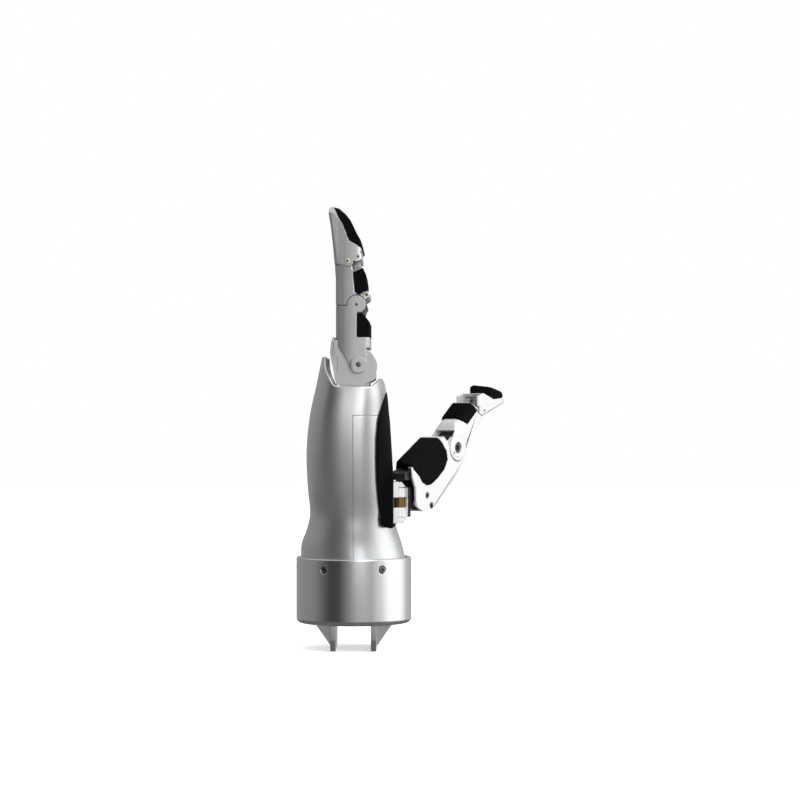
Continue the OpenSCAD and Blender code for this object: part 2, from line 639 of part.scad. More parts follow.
// Sleeves on the yaw shaft, joined by a web
module thumb_yaw_block() color(white) difference() {
    union() {
        for (z = [-yaw_half, bush_half]) translate([0, 0, z]) cylinder(r = sleeve_r,
            h = yaw_half - bush_half);
        slab([[0, -yaw_half], [yaw_web, -yaw_half], [yaw_web, yaw_half], [0, yaw_half], [0, bush_half],
            [3.4, bush_half], [3.4, -bush_half], [0, -bush_half]], -3.2, 3.2);
    }
    translate([0, 0, -big / 2]) cylinder(r = yaw_shaft_r + pin_fit, h = big);
}

// Fork arm behind the yaw block, with the bore of the pitch axis
arm_half = 4.4;
module thumb_pitch_arm() color(black) difference() {
    slab(concat([[yaw_web, -yaw_half], [5.4, -yaw_half], [5.4, -4.6], [7.2, -3.6]], arc(pitch_axis, 3.4,
        -125, 90), [[7.4, 3.6], [5.8, yaw_half], [yaw_web, yaw_half]]),
        -arm_half, arm_half);
    axle(pitch_axis, pitch_pin_r + pin_fit, -big, big);
}

// What the metacarpal's slanted base leaves clear in front of the palm
module base_slant() translate([0, 0, -50]) linear_extrude(200) polygon([[-60, -30], [4.2 - 10.6, -30],
    [4.2 + 10.6, 30], [-60, 30]]);

metacarpal_outline = concat([[0.3, 18], [1, 20], [8, 24.4], [20, 31.6], [31, 37.8], [34.5, 39.3], [39,
    33.8]], arc(thumb_knuckle, thumb_hub_r + 0.6, 180, 360, 12),
    [[58.2, 31.8], [57.6, 28.4], [55, 24.6], [50.8, 19.6], [44.5, 12.5], [39.3, 7.6], [33, 3], [27,
        -1.6], [21, -4.7], [12, -5.8], [6.6, -3], [5.3, 0.1], [5, 8.8]]);
metacarpal_hollow = [[-5, 18.4], [8, 22.3], [20, 29.6], [31, 35.6], [42, 42], [big, 42], [big, 33],
    [56.2, 31.4], [53.6, 26], [49.6, 21.2], [43.4, 14.2],
    [38.2, 9.4], [32, 4.8], [26.4, 0.2], [20.6, -3.4], [12.4, -4.7], [-5, -4.7]];
thenar_outline = [[3, 19.8], [8.5, 15.5], [11.5, 11.8], [16.2, 9.8], [21, 10.4], [27.3, 13.8], [34.7,
    19.4], [37.8, 25], [36.6, 30.4],
    [33.7, 33.4], [29.5, 38.8], [20, 33.2], [8, 26], [3, 23]];

// Rounds the thumb's pieces across: a bar with round corners along a rise
module thumb_bar(place, rise, back_x, front_x) translate([place.x, 0, place.y]) rotate([0, 90 - rise,
    0]) rotate([0, 0, 180])
    translate([0, 0, -80]) linear_extrude(160) polygon(section(thumb_half, back_x, front_x, 4, 4.5));

// Thumb's base piece: hollow shell with inner walls that carry the knuckle pins
module thumb_metacarpal_shell() color(white) difference() {
    union() {
        difference() {
            intersection() {
                slab(metacarpal_outline, -thumb_half, thumb_half);
                thumb_bar([20, 31.6], 30.5, -60, 1.5);
                thumb_bar([33, 3], 41, -1.5, 60);
            }
            slab(metacarpal_hollow, -meta_in, meta_in);
            slab(thenar_outline, -big, big);
            base_slant();
        }
        both_sides() difference() {
            slab(concat([[31, 34], [33.5, 37], [37.6, 36.4]], arc(thumb_knuckle, 7.2, 140, -60, 12),
                [[44, 15.8], [40, 12.4], [36, 20]]), thumb_tab_in, thumb_tab_out);
            axle(thumb_knuckle, thumb_pin_r + pin_fit, -big, big);
        }
        both_sides() axle([40.6, 22.6], 2.4, thumb_tab_in, meta_in + 0.1);
        axle(pitch_axis, pitch_pin_r, -meta_in - 0.1, meta_in + 0.1);
    }
    both_sides() for (p = [[16.7, 3.8], [20.9, -2.3]]) axle(p, 1.9, meta_in - 1, big);
}

// Grip pad over the ball of the thumb
module thumb_metacarpal_pad() color(black) difference() {
    intersection() {
        slab(thenar_outline, -thumb_half, thumb_half);
        thumb_bar([20, 33.2], 30.5, -60, 0.6);
    }
    slab([[-5, 18.4], [8, 22.8], [20, 30], [31, 36.2], [60, 50], [60, -20], [-5, -20]], -meta_in, meta_in);
    base_slant();
}

// Screws that hold the thumb's motor
module thumb_screws() color(steel) both_sides() for (p = [[16.7, 3.8], [20.9, -2.3]]) difference() {
    axle(p, 1.8, meta_in - 0.6, thumb_half - 0.3);
    axle(p, 0.9, thumb_half - 1.2, big);
}

// Motor block inside the thumb's base piece
module thumb_motor() color(black) difference() {
    slab([[-3, 13.4], [8.6, 13.4], [8.6, 3.4], [15.2, 3.4], [15.2, -1.5], [21, -1.5], [30, 6], [32.5, 9],
        [32.5, 27], [26, 30.6], [10, 21.2], [-3, 17.4]], -6.2, 6.2);
    motor_slant();
}
// Slanted rear end of the thumb's motor, clear of the pitch arm
module motor_slant() translate([0, 0, -50]) linear_extrude(200) polygon([[-60, -30], [-47, -30], [33,
    30], [-60, 30]]);

// Hollow knuckle pins, and the lower pin of the thumb's link
module thumb_knuckle_pins() color(steel) {
    both_sides() difference() {
        axle(thumb_knuckle, thumb_pin_r, thumb_tab_in, thumb_half - 0.4);
        axle(thumb_knuckle, 1.8, thumb_half - 1.6, big);
    }
    thumb_piece(thumb_knuckle, thumb_rise) {
        axle(thumb_lower_pin, link_pin_r, -thumb_tab_in, lower_layer[1] + 0.4);
        axle(thumb_lower_pin, link_pin_r - 0.3, -thumb_tab_in - 0.5, -thumb_tab_in + 0.5);
    }
}

thumb_end = 30.4;            // end of the outer walls, before the tip's hub
tip_hub_r = 4.6;
tip_pin_r = 1;
ip = [0, thumb_proximal_l];
// Thumb's middle piece, forked at both ends
module thumb_proximal_shell() color(white) thumb_piece(thumb_knuckle, thumb_rise) difference() {
    union() {
        difference() {
            intersection() {
                slab(concat(arc([0, 0], thumb_hub_r - 0.1, -200, 8, 16), [[9.8, 6], [11.2, 9.5], [11.2,
                    thumb_end], [3.4, thumb_end]],
                    arc(ip, tip_hub_r + side_gap, -60, -126, 6), [[-2.9, thumb_proximal_l - 4], [-2.9,
                        11]]), -thumb_half, thumb_half);
                translate([0, 0, -20]) linear_extrude(100) polygon(section(thumb_half, -9, 11.2, 3, 4.5));
            }
            slab([[-9, -20], [9.4, -20], [9.4, 60], [-1.7, 60], [-1.7, 17], [-9, 17]], -meta_in, meta_in);
            slab([[4.5, 17], [9.4, 14.4], [big, 14.4], [big, thumb_end - 0.3], [4.5, thumb_end - 0.3]],
                -big, big);
        }
        both_sides() axle([0, 0], thumb_hub_r, meta_in, thumb_half + 0.4);
        both_sides() slab(concat([[-1.9, 22], [7, 22], [9.2, thumb_end - 4]], arc(ip, 4, -10, 60, 4),
            arc(ip, 2.1, 90, 180, 4)), tab_in, thumb_tab_out);
        both_sides() slab([[-1.9, 22], [4.4, 22], [4.4, 28], [-1.9, 28]], thumb_tab_out - 0.1,
            meta_in + 0.1);
    }
    axle([0, 0], thumb_pin_r + pin_fit, -big, big);
    both_sides() axle([0, -5.4], 0.85, meta_in - 1, big);
    axle(ip, tip_pin_r + pin_fit, -big, big);
}

// Grip pad of the thumb's middle piece
module thumb_proximal_pad() color(black) thumb_piece(thumb_knuckle, thumb_rise) difference() {
    intersection() {
        slab([[4.8, 17.3], [9.7, 14.7], [12.4, 14.7], [13.2, 20], [12.8, thumb_end - 3], [11.6,
            thumb_end - 0.6], [4.8, thumb_end - 0.6]], -thumb_half, thumb_half);
        translate([0, 0, -20]) linear_extrude(100) polygon(section(thumb_half, -9, 13.2, 3, 5.5));
    }
    slab([[-9, -20], [9.4, -20], [9.4, 60], [-9, 60]], -meta_in, meta_in);
}

// The tip piece, drawn about its own axis
thumb_pad_edge = [[10.6, -3.9], [10.2, 3], [3, 12.5], [1, 20], [0.4, 26.4]];
// Round-ended form that bounds the thumb tip's shell and pad
module thumb_tip_form() intersection() {
    translate([0, 0, -20]) linear_extrude(80) polygon(section(thumb_half, -3.6, 16.4, 3.2, 6.5));
    rotate([90, 0, 90]) linear_extrude(80, center = true) polygon(concat([[-thumb_half, -20],
        [thumb_half, -20]], arc([0, 20], 7.8, 0, 180, 14)));
}

// Thumb tip shell with its hub and the link's upper pin
module thumb_tip_shell() color(white) thumb_piece(thumb_tip_axis, thumb_tip_rise) difference() {
    union() {
        difference() {
            intersection() {
                slab(concat([[5, -5.5]], thumb_pad_edge, [[-1.2, 27.8], [-3.2, 27.2], [-3.6, 24], [-3.6,
                    0]], arc([0, 0], tip_hub_r, -130, -50, 6)), -thumb_half, thumb_half);
                thumb_tip_form();
            }
            slab([[-20, -20], [20, -20], [20, -2], [8, 2.6], [6, 6.4], [-2.4, 6.4], [-2.4, 0], [-20,
                -1.6]], -meta_in, meta_in);
        }
        both_sides() axle([0, 0], tip_pin_r, tab_in - 0.1, thumb_half);
        rotate([0, thumb_tip_rise - thumb_rise, 0]) translate([0, 0, -thumb_proximal_l])
            slab(concat(arc(thumb_upper_pin, 1.9, 150, 330, 6), [thumb_upper_pin + [3, 5],
                thumb_upper_pin + [-4, 6]]), -tab_in + 0.2, -4.1);
        rotate([0, thumb_tip_rise - thumb_rise, 0]) translate([0, 0, -thumb_proximal_l])
            axle(thumb_upper_pin, link_pin_r, -tab_in + 0.4, lower_layer[1] + 0.4);
    }
    both_sides() axle([0, 0], 0.6, thumb_half - 1, big);
}

// Soft thumb tip
module thumb_tip_pad() color(black) thumb_piece(thumb_tip_axis, thumb_tip_rise) intersection() {
    translate([0.15, 0, 0]) slab(concat(thumb_pad_edge, [[2.4, 25.4], [7.6, 17.4], [11.8, 10.3], [15, 4],
        [16, -1], [15.2, -3.6], [12.8, -4.6]]), -thumb_half, thumb_half);
    thumb_tip_form();
}

// Link that bends the thumb's tip with its knuckle
module thumb_link() color(steel) thumb_piece(thumb_knuckle, thumb_rise)
    link([thumb_eye, link_pin_r + thumb_play + 1, link_pin_r + thumb_play + 0.1], [thumb_upper_pin, 2,
        link_pin_r + pin_fit], 1.4, lower_layer);

// ---------- the model ----------

wrist_collar();
collar_screws();
mounting_plates();
palm_frame();
palm_back_shell();
palm_front_shell();
palm_pad();
finger_motors();
control_board();
thumb_bracket();
thumb_yaw_shaft();

for (i = [0:3]) translate([knuckle_x, finger_ys[i], knuckle_z]) {
    knuckle();
    proximal_shell();
    proximal_pad();
    middle_shell();
    middle_pad();
    tip_shell();
    tip_pad();
    lower_link();
    upper_link();
}

thumb_frame() {
    thumb_bush();
    thumb_yaw_block();
    thumb_pitch_arm();
    thumb_motor();
    thumb_metacarpal_shell();
    thumb_metacarpal_pad();
    thumb_screws();
    thumb_knuckle_pins();
    thumb_proximal_shell();
    thumb_proximal_pad();
    thumb_tip_shell();
    thumb_tip_pad();
    thumb_link();
}
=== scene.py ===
"""Looks of a left dexterous robot hand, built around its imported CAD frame."""

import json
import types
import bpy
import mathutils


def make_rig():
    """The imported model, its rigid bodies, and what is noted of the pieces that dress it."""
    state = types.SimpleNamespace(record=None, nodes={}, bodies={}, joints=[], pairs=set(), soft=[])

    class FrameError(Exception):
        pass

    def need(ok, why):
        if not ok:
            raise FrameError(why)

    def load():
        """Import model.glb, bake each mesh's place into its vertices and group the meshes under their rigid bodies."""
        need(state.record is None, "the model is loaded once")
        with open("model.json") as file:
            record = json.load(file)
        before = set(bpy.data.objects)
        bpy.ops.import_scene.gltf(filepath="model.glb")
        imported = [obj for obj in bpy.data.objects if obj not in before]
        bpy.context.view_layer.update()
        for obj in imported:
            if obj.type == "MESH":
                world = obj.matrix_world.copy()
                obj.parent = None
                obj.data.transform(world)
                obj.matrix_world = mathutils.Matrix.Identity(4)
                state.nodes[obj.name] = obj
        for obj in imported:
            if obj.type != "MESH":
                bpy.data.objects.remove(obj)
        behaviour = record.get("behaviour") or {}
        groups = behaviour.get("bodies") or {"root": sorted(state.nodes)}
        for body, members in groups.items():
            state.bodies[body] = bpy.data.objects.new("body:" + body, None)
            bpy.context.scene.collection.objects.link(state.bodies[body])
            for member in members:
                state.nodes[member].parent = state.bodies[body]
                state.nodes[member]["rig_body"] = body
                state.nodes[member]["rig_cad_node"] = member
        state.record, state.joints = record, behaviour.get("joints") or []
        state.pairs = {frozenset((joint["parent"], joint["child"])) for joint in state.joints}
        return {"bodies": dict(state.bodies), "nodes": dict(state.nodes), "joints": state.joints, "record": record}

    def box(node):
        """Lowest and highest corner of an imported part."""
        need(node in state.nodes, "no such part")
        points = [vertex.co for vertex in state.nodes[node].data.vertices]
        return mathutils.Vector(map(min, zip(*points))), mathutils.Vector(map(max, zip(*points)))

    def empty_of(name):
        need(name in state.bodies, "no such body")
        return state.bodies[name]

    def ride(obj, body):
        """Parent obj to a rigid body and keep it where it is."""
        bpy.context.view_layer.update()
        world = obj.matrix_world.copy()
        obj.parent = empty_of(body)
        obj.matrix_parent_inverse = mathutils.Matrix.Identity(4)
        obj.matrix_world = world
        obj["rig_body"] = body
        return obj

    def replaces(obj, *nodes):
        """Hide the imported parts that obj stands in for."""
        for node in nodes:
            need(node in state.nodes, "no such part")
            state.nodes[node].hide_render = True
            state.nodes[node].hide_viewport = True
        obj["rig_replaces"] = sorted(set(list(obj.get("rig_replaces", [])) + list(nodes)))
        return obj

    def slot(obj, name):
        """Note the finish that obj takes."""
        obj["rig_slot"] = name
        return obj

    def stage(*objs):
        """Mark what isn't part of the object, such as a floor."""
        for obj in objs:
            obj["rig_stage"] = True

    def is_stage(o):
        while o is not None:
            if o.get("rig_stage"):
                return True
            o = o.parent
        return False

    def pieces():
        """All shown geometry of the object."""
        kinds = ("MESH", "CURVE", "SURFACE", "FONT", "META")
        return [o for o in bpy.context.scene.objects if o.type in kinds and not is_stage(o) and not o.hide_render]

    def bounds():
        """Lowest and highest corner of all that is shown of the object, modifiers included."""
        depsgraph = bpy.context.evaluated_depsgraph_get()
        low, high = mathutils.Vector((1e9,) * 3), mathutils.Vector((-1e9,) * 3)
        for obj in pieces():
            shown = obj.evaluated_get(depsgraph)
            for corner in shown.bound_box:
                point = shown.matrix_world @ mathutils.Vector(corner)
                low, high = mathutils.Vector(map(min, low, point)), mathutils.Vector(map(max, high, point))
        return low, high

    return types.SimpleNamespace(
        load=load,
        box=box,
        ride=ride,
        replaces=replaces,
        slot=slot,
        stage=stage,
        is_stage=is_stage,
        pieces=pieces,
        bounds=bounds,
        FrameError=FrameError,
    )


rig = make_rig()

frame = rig.load()

import json
import logging
import math
from collections.abc import Callable, Iterator
from contextlib import contextmanager
from dataclasses import dataclass, field
from enum import Enum

import bmesh
import bpy
import numpy as np
from bmesh.types import BMesh
from bpy.types import ID, Material, Mesh, Node, NodeSocket, NodeTree, Object, Scene
from mathutils import Matrix, Vector

LOG = logging.getLogger("robot_hand")
MM = 0.001
CAD_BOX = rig.bounds()
FINGERS = ("index", "middle", "ring", "little")
FINGER_PITCH = 21.0
LATHE_STEPS = 36
FLOAT, VECTOR, INT = "NodeSocketFloat", "NodeSocketVector", "NodeSocketInt"
GEOMETRY, OBJECT, MATERIAL = "NodeSocketGeometry", "NodeSocketObject", "NodeSocketMaterial"
NOISE, BUMP, GROUP = "ShaderNodeTexNoise", "ShaderNodeBump", "ShaderNodeGroup"

Pair = tuple[float, float]
Triple = tuple[float, float, float]
Spot = tuple[Vector, Vector]
Profile = list[Pair]


def mm(*values: float) -> Vector:
    """A point or direction given in millimetres, as a vector in metres."""
    return Vector(values) * MM


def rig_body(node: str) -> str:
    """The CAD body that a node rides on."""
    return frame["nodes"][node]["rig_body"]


def linked(name: str, data: ID) -> Object:
    """Makes an object at the origin from its data and links it."""
    obj = bpy.data.objects.new(name, data)
    bpy.context.scene.collection.objects.link(obj)
    return obj


def object_of(name: str, bm: BMesh) -> Object:
    """Makes a linked object from a bmesh, which it frees."""
    mesh = bpy.data.meshes.new(name)
    bm.to_mesh(mesh)
    bm.free()
    return linked(name, mesh)


# ---------- finishes ----------


class Pattern(Enum):
    """How the grain of a finish is stretched along X, Y and Z; no two members may be equal."""

    BLASTED = (1.0, 1.0, 1.0)
    TURNED = (0.06, 0.06, 6.0)
    BRUSHED = (6.0, 1.0, 0.08)
    KNURLED = (1.0, 1.0, 1.01)


class Sockets:
    """Adds nodes to a tree with their values and links, and a group's own sockets."""

    def __init__(self, tree: NodeTree) -> None:
        """Wraps one node tree.

        Args:
            tree: The shader or geometry tree to add to.
        """
        self.tree = tree

    @classmethod
    def group(cls, name: str, kind: str = "Shader") -> "Sockets":
        """Starts a new shader or geometry node group."""
        return cls(bpy.data.node_groups.new(name, f"{kind}NodeTree"))

    def open(self, inputs: dict[str, tuple], outputs: dict[str, str]) -> tuple:
        """Adds the group's interface and its two end nodes.

        Args:
            inputs: Name of each input, with its socket type and default.
            outputs: Name of each output, with its socket type.

        Returns:
            The group's input node and output node.
        """
        for name, (kind, value) in inputs.items():
            made = self.tree.interface.new_socket(name=name, in_out="INPUT", socket_type=kind)
            if value is not None:
                made.default_value = value
        for name, kind in outputs.items():
            self.tree.interface.new_socket(name=name, in_out="OUTPUT", socket_type=kind)
        return self.add("NodeGroupInput"), self.add("NodeGroupOutput")

    def feed(self, target: NodeSocket, value: object) -> None:
        """Gives an input its value, or links it from another node's output.

        Args:
            target: The input.
            value: A plain value, or the output to link from.
        """
        if isinstance(value, NodeSocket):
            self.tree.links.new(value, target)
        else:
            target.default_value = value

    def give(self, node: Node, **inputs: object) -> Node:
        """Feeds several inputs of a node.

        Args:
            node: The node.
            **inputs: Values or outputs, named like the inputs with _ for a space.

        Returns:
            The same node.
        """
        for name, value in inputs.items():
            self.feed(node.inputs[name.replace("_", " ")], value)
        return node

    def add(self, kind: str, **settings: object) -> Node:
        """Adds a node, sets its attributes and then feeds its inputs.

        Args:
            kind: Blender's name of the node type.
            **settings: The node's attributes, in lower case, and its inputs, with a capital.

        Returns:
            The new node.
        """
        node = self.tree.nodes.new(kind)
        for name, value in settings.items():
            if name[0].islower():
                setattr(node, name, value)
        return self.give(node, **{n: v for n, v in settings.items() if n[0].isupper()})

    def place(self, output: str = "Object") -> NodeSocket:
        """Adds a Texture Coordinate node and returns one of its outputs."""
        return self.add("ShaderNodeTexCoord").outputs[output]

    def math(self, operation: str, *terms: object) -> NodeSocket:
        """Adds a Math node.

        Args:
            operation: The Math node's operation.
            *terms: Up to three outputs or numbers.

        Returns:
            The node's value output.
        """
        node = self.add("ShaderNodeMath", operation=operation)
        for slot, term in zip(node.inputs, terms):
            self.feed(slot, term)
        return node.outputs[0]

    def mix(self, share: object, first: object, second: object) -> NodeSocket:
        """Mixes two colours, each an output or an RGB triple.

        Args:
            share: How much there is of the second colour.
            first: The first colour.
            second: The second colour.

        Returns:
            The mixed colour.
        """
        node = self.add("ShaderNodeMix", data_type="RGBA")
        self.feed(node.inputs[0], share)
        for slot, colour in ((6, first), (7, second)):
            plain = not isinstance(colour, NodeSocket)
            self.feed(node.inputs[slot], (*colour, 1) if plain else colour)
        return node.outputs[2]

    def remap(self, value: NodeSocket, source: Pair, target: Pair = (0, 1), **settings: str) -> NodeSocket:
        """Maps one range of a value onto another, and clamps it there.

        Args:
            value: The value.
            source: Start and end of its range.
            target: What they become.
            **settings: More settings of the node.

        Returns:
            The mapped value.
        """
        ends = dict(zip(("From_Min", "From_Max", "To_Min", "To_Max"), (*source, *target)))
        node = self.add("ShaderNodeMapRange", clamp=True, Value=value, **ends, **settings)
        return node.outputs["Result"]


def grain_group() -> NodeTree:
    """Fine grain of a blasted, brushed or turned surface, with broader cloudiness under it.

    Returns:
        The group, with outputs Tone, Gloss and Height that are each about 0 to 1.
    """
    kit = Sockets.group("surface_grain")
    start, end = kit.open(
        {"Stretch": (VECTOR, (1, 1, 1)), "Grain": (FLOAT, 2500.0), "Cloud": (FLOAT, 60.0)},
        {"Tone": FLOAT, "Gloss": FLOAT, "Height": FLOAT},
    )
    given = start.outputs
    place = kit.place()
    stretch = kit.add("ShaderNodeVectorMath", operation="MULTIPLY", Vector=place)
    kit.feed(stretch.inputs[1], given["Stretch"])
    fine = kit.add(NOISE, Vector=stretch.outputs[0], Scale=given["Grain"], Detail=4.0, Roughness=0.6)
    broad = kit.add(NOISE, Vector=place, Scale=given["Cloud"], Detail=3.0, Roughness=0.5)

    def blend(share: float) -> NodeSocket:
        """Adds a share of the fine noise to the rest of the broad one."""
        parts = (kit.math("MULTIPLY", n.outputs[0], s) for n, s in ((fine, share), (broad, 1 - share)))
        return kit.math("ADD", *parts)

    kit.give(end, Tone=blend(0.5), Gloss=blend(0.35), Height=fine.outputs[0])
    return kit.tree


def wear_group() -> NodeTree:
    """Light wear on outer edges, broken up by noise.

    Returns:
        The group, with one output, Mask, from 0 to 1.
    """
    kit = Sockets.group("edge_wear")
    start, end = kit.open({"Amount": (FLOAT, 0.5)}, {"Mask": FLOAT})
    noise = kit.add(NOISE, Vector=kit.place(), Scale=420.0, Detail=5.0, Roughness=0.65)
    edge = kit.remap(kit.add("ShaderNodeNewGeometry").outputs["Pointiness"], (0.53, 0.66))
    broken = kit.math("MULTIPLY", edge, kit.math("POWER", noise.outputs[0], 1.4))
    kit.give(end, Mask=kit.math("MULTIPLY", broken, start.outputs["Amount"]))
    return kit.tree


def knurl_group() -> NodeTree:
    """Fine raised dots of moulded grip rubber, in a square lattice through space.

    Returns:
        The group, with one output, Height.
    """
    kit = Sockets.group("grip_dots")
    start, end = kit.open({"Pitch": (FLOAT, 0.0009), "Round": (FLOAT, 0.45)}, {"Height": FLOAT})
    cells = kit.add(
        "ShaderNodeTexVoronoi",
        feature="F1",
        Vector=kit.place(),
        Scale=kit.math("DIVIDE", 1.0, start.outputs["Pitch"]),
        Randomness=0.0,
    )
    distance = cells.outputs["Distance"]
    dots = kit.remap(distance, (0.62, 0.2), interpolation_type="SMOOTHSTEP")
    kit.give(end, Height=kit.math("POWER", dots, start.outputs["Round"]))
    return kit.tree


@dataclass(frozen=True)
class Finish:
    """One surface finish and the material that shows it."""

    name: str
    slot: str
    colour: Triple
    worn: Triple
    metallic: float
    roughness: float
    pattern: Pattern = Pattern.BLASTED
    spread: float = 0.05
    gloss_spread: float = 0.08
    bump: float = 0.06
    grain: float = 2500.0
    wear: float = 0.35
    coat: float = 0.0
    specular: float = 0.5
    coat_roughness: float = 0.12
    grain_depth: float = 0.0002
    dot_depth: float = 0.0003
    dot_bump: float = 0.7

    def material(self, groups: dict[str, NodeTree]) -> Material:
        """Builds the finish's material.

        Args:
            groups: The shared shader groups by name.

        Returns:
            The material, ready to put in a slot.
        """
        made = bpy.data.materials.new(self.name)
        made.use_nodes = True
        kit = Sockets(made.node_tree)
        grain = kit.add(GROUP, node_tree=groups["grain"], Stretch=self.pattern.value)
        kit.give(grain, Grain=self.grain)
        wear = kit.add(GROUP, node_tree=groups["wear"], Amount=self.wear)
        dark = [c * (1 - self.spread) for c in self.colour]
        light = [min(1.0, c * (1 + self.spread)) for c in self.colour]
        tint = kit.mix(grain.outputs["Tone"], dark, light)
        gloss = (self.roughness - self.gloss_spread, self.roughness + self.gloss_spread)
        height = grain.outputs["Height"]
        bump = kit.add(BUMP, Strength=self.bump, Distance=self.grain_depth, Height=height)
        if self.pattern is Pattern.KNURLED:
            dots = kit.add(GROUP, node_tree=groups["knurl"]).outputs["Height"]
            under = bump.outputs[0]
            bump = kit.add(BUMP, Strength=self.dot_bump, Distance=self.dot_depth, Height=dots)
            kit.give(bump, Normal=under)
        kit.give(
            made.node_tree.nodes["Principled BSDF"],
            Base_Color=kit.mix(wear.outputs["Mask"], tint, self.worn),
            Metallic=self.metallic,
            Roughness=kit.remap(grain.outputs["Gloss"], (0, 1), gloss),
            Normal=bump.outputs[0],
            Specular_IOR_Level=self.specular,
            Coat_Weight=self.coat,
            Coat_Roughness=self.coat_roughness,
        )
        return made


TURNED, BRUSHED, KNURLED = Pattern.TURNED, Pattern.BRUSHED, Pattern.KNURLED


class Palette:
    """All the finishes of the hand, each made into a material once."""

    FINISHES = (
        Finish("housing_satin_silver", "housing", (0.60, 0.61, 0.62), (0.80, 0.80, 0.81), 0.92, 0.33),
        Finish(
            "collar_turned_silver", "collar", (0.62, 0.62, 0.63), (0.85, 0.85, 0.86), 1.0, 0.22,
            TURNED, gloss_spread=0.05, bump=0.03,
        ),
        Finish("finger_blasted_silver", "finger_silver", (0.47, 0.475, 0.485), (0.8, 0.8, 0.8), 0.7, 0.42),
        Finish(
            "thumb_bright_silver", "thumb_white", (0.79, 0.79, 0.80), (0.9, 0.9, 0.9), 0.22, 0.34,
            coat=0.2,
        ),
        Finish(
            "grip_rubber", "grip_pad", (0.0028, 0.0028, 0.003), (0.012, 0.012, 0.012), 0.0, 0.75,
            KNURLED, spread=0.3, specular=0.07,
        ),
        Finish(
            "motor_black", "motor_black", (0.02, 0.02, 0.022), (0.25, 0.25, 0.25), 0.3, 0.35,
            spread=0.2, wear=0.5,
        ),
        Finish(
            "dark_steel", "dark_steel", (0.10, 0.10, 0.105), (0.45, 0.45, 0.45), 0.9, 0.34,
            BRUSHED, wear=0.6,
        ),
        Finish(
            "frame_machined", "chassis", (0.42, 0.42, 0.44), (0.7, 0.7, 0.7), 0.9, 0.35,
            BRUSHED, wear=0.3,
        ),
        Finish(
            "screw_polished", "dark_steel", (0.16, 0.16, 0.17), (0.6, 0.6, 0.6), 1.0, 0.12,
            BRUSHED, gloss_spread=0.05, wear=0.3,
        ),
        Finish("bright_steel", "steel", (0.50, 0.50, 0.51), (0.8, 0.8, 0.8), 1.0, 0.25, BRUSHED, wear=0.4),
        Finish("board_green", "board", (0.01, 0.09, 0.04), (0.3, 0.3, 0.2), 0.0, 0.4, spread=0.25),
        Finish("pin_brass", "brass", (0.17, 0.10, 0.03), (0.45, 0.33, 0.14), 1.0, 0.3, TURNED),
        Finish("pin_ivory", "thumb_white", (0.78, 0.74, 0.60), (0.9, 0.88, 0.8), 0.2, 0.35),
    )

    def __init__(self) -> None:
        """Builds the shader groups and every material."""
        groups = {"grain": grain_group(), "wear": wear_group(), "knurl": knurl_group()}
        self.finishes = {f.name: f for f in self.FINISHES}
        self.materials = {f.name: f.material(groups) for f in self.FINISHES}

    def dress(self, obj: Object, name: str, declare: bool = True) -> None:
        """Gives an object one finish in all its slots.

        Args:
            obj: A piece, or a CAD node that stays.
            name: The finish's name.
            declare: Whether to name the record's slot too.
        """
        if not obj.data.materials:
            obj.data.materials.append(None)
        for slot in obj.material_slots:
            slot.link = "OBJECT"
            slot.material = self.materials[name]
        if declare:
            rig.slot(obj, self.finishes[name].slot)


# ---------- mesh making ----------


@contextmanager
def edited(mesh: Mesh) -> Iterator[BMesh]:
    """Opens a mesh as a bmesh and writes it back at the end.

    Args:
        mesh: The mesh to edit.

    Yields:
        Its bmesh.
    """
    bm = bmesh.new()
    bm.from_mesh(mesh)
    yield bm
    bm.to_mesh(mesh)
    bm.free()


def cut(bm: BMesh, place: Vector, away: Vector, clear: bool = False) -> None:
    """Cuts a mesh by a plane.

    Args:
        bm: The mesh.
        place: A point of the plane.
        away: The plane's normal.
        clear: Whether what lies past the plane goes, with the hole filled.
    """
    geom = [*bm.verts, *bm.edges, *bm.faces]
    bmesh.ops.bisect_plane(bm, geom=geom, dist=1e-7, plane_co=place, plane_no=away, clear_outer=clear)
    if clear:
        bmesh.ops.holes_fill(bm, edges=[e for e in bm.edges if e.is_boundary])


@dataclass(frozen=True)
class Crown:
    """How the flat sides of a finger's shells fall away towards its back."""

    y: float
    half_w: float = 8.3
    start_x: float = 1.13
    back_x: float = -8.6
    drop: float = 1.15
    skin: float = 1.3
    strips: int = 13
    most: float = 1.05

    def press(self, bm: BMesh) -> None:
        """Cuts the sides into strips and moves their outer faces inwards."""
        reach = self.start_x - self.back_x
        for k in range(self.strips + 1):
            cut(bm, mm(self.start_x - k * reach / self.strips, 0, 0), Vector((1, 0, 0)))
        for vert in bm.verts:
            side = vert.co.y / MM - self.y
            share = (self.start_x - vert.co.x / MM) / reach
            if share > 0:
                depth = (abs(side) - (self.half_w - self.skin)) / self.skin
                fall = self.drop * min(share, self.most) ** 2 * max(0.0, min(1.0, depth))
                vert.co.y -= math.copysign(fall, side) * MM


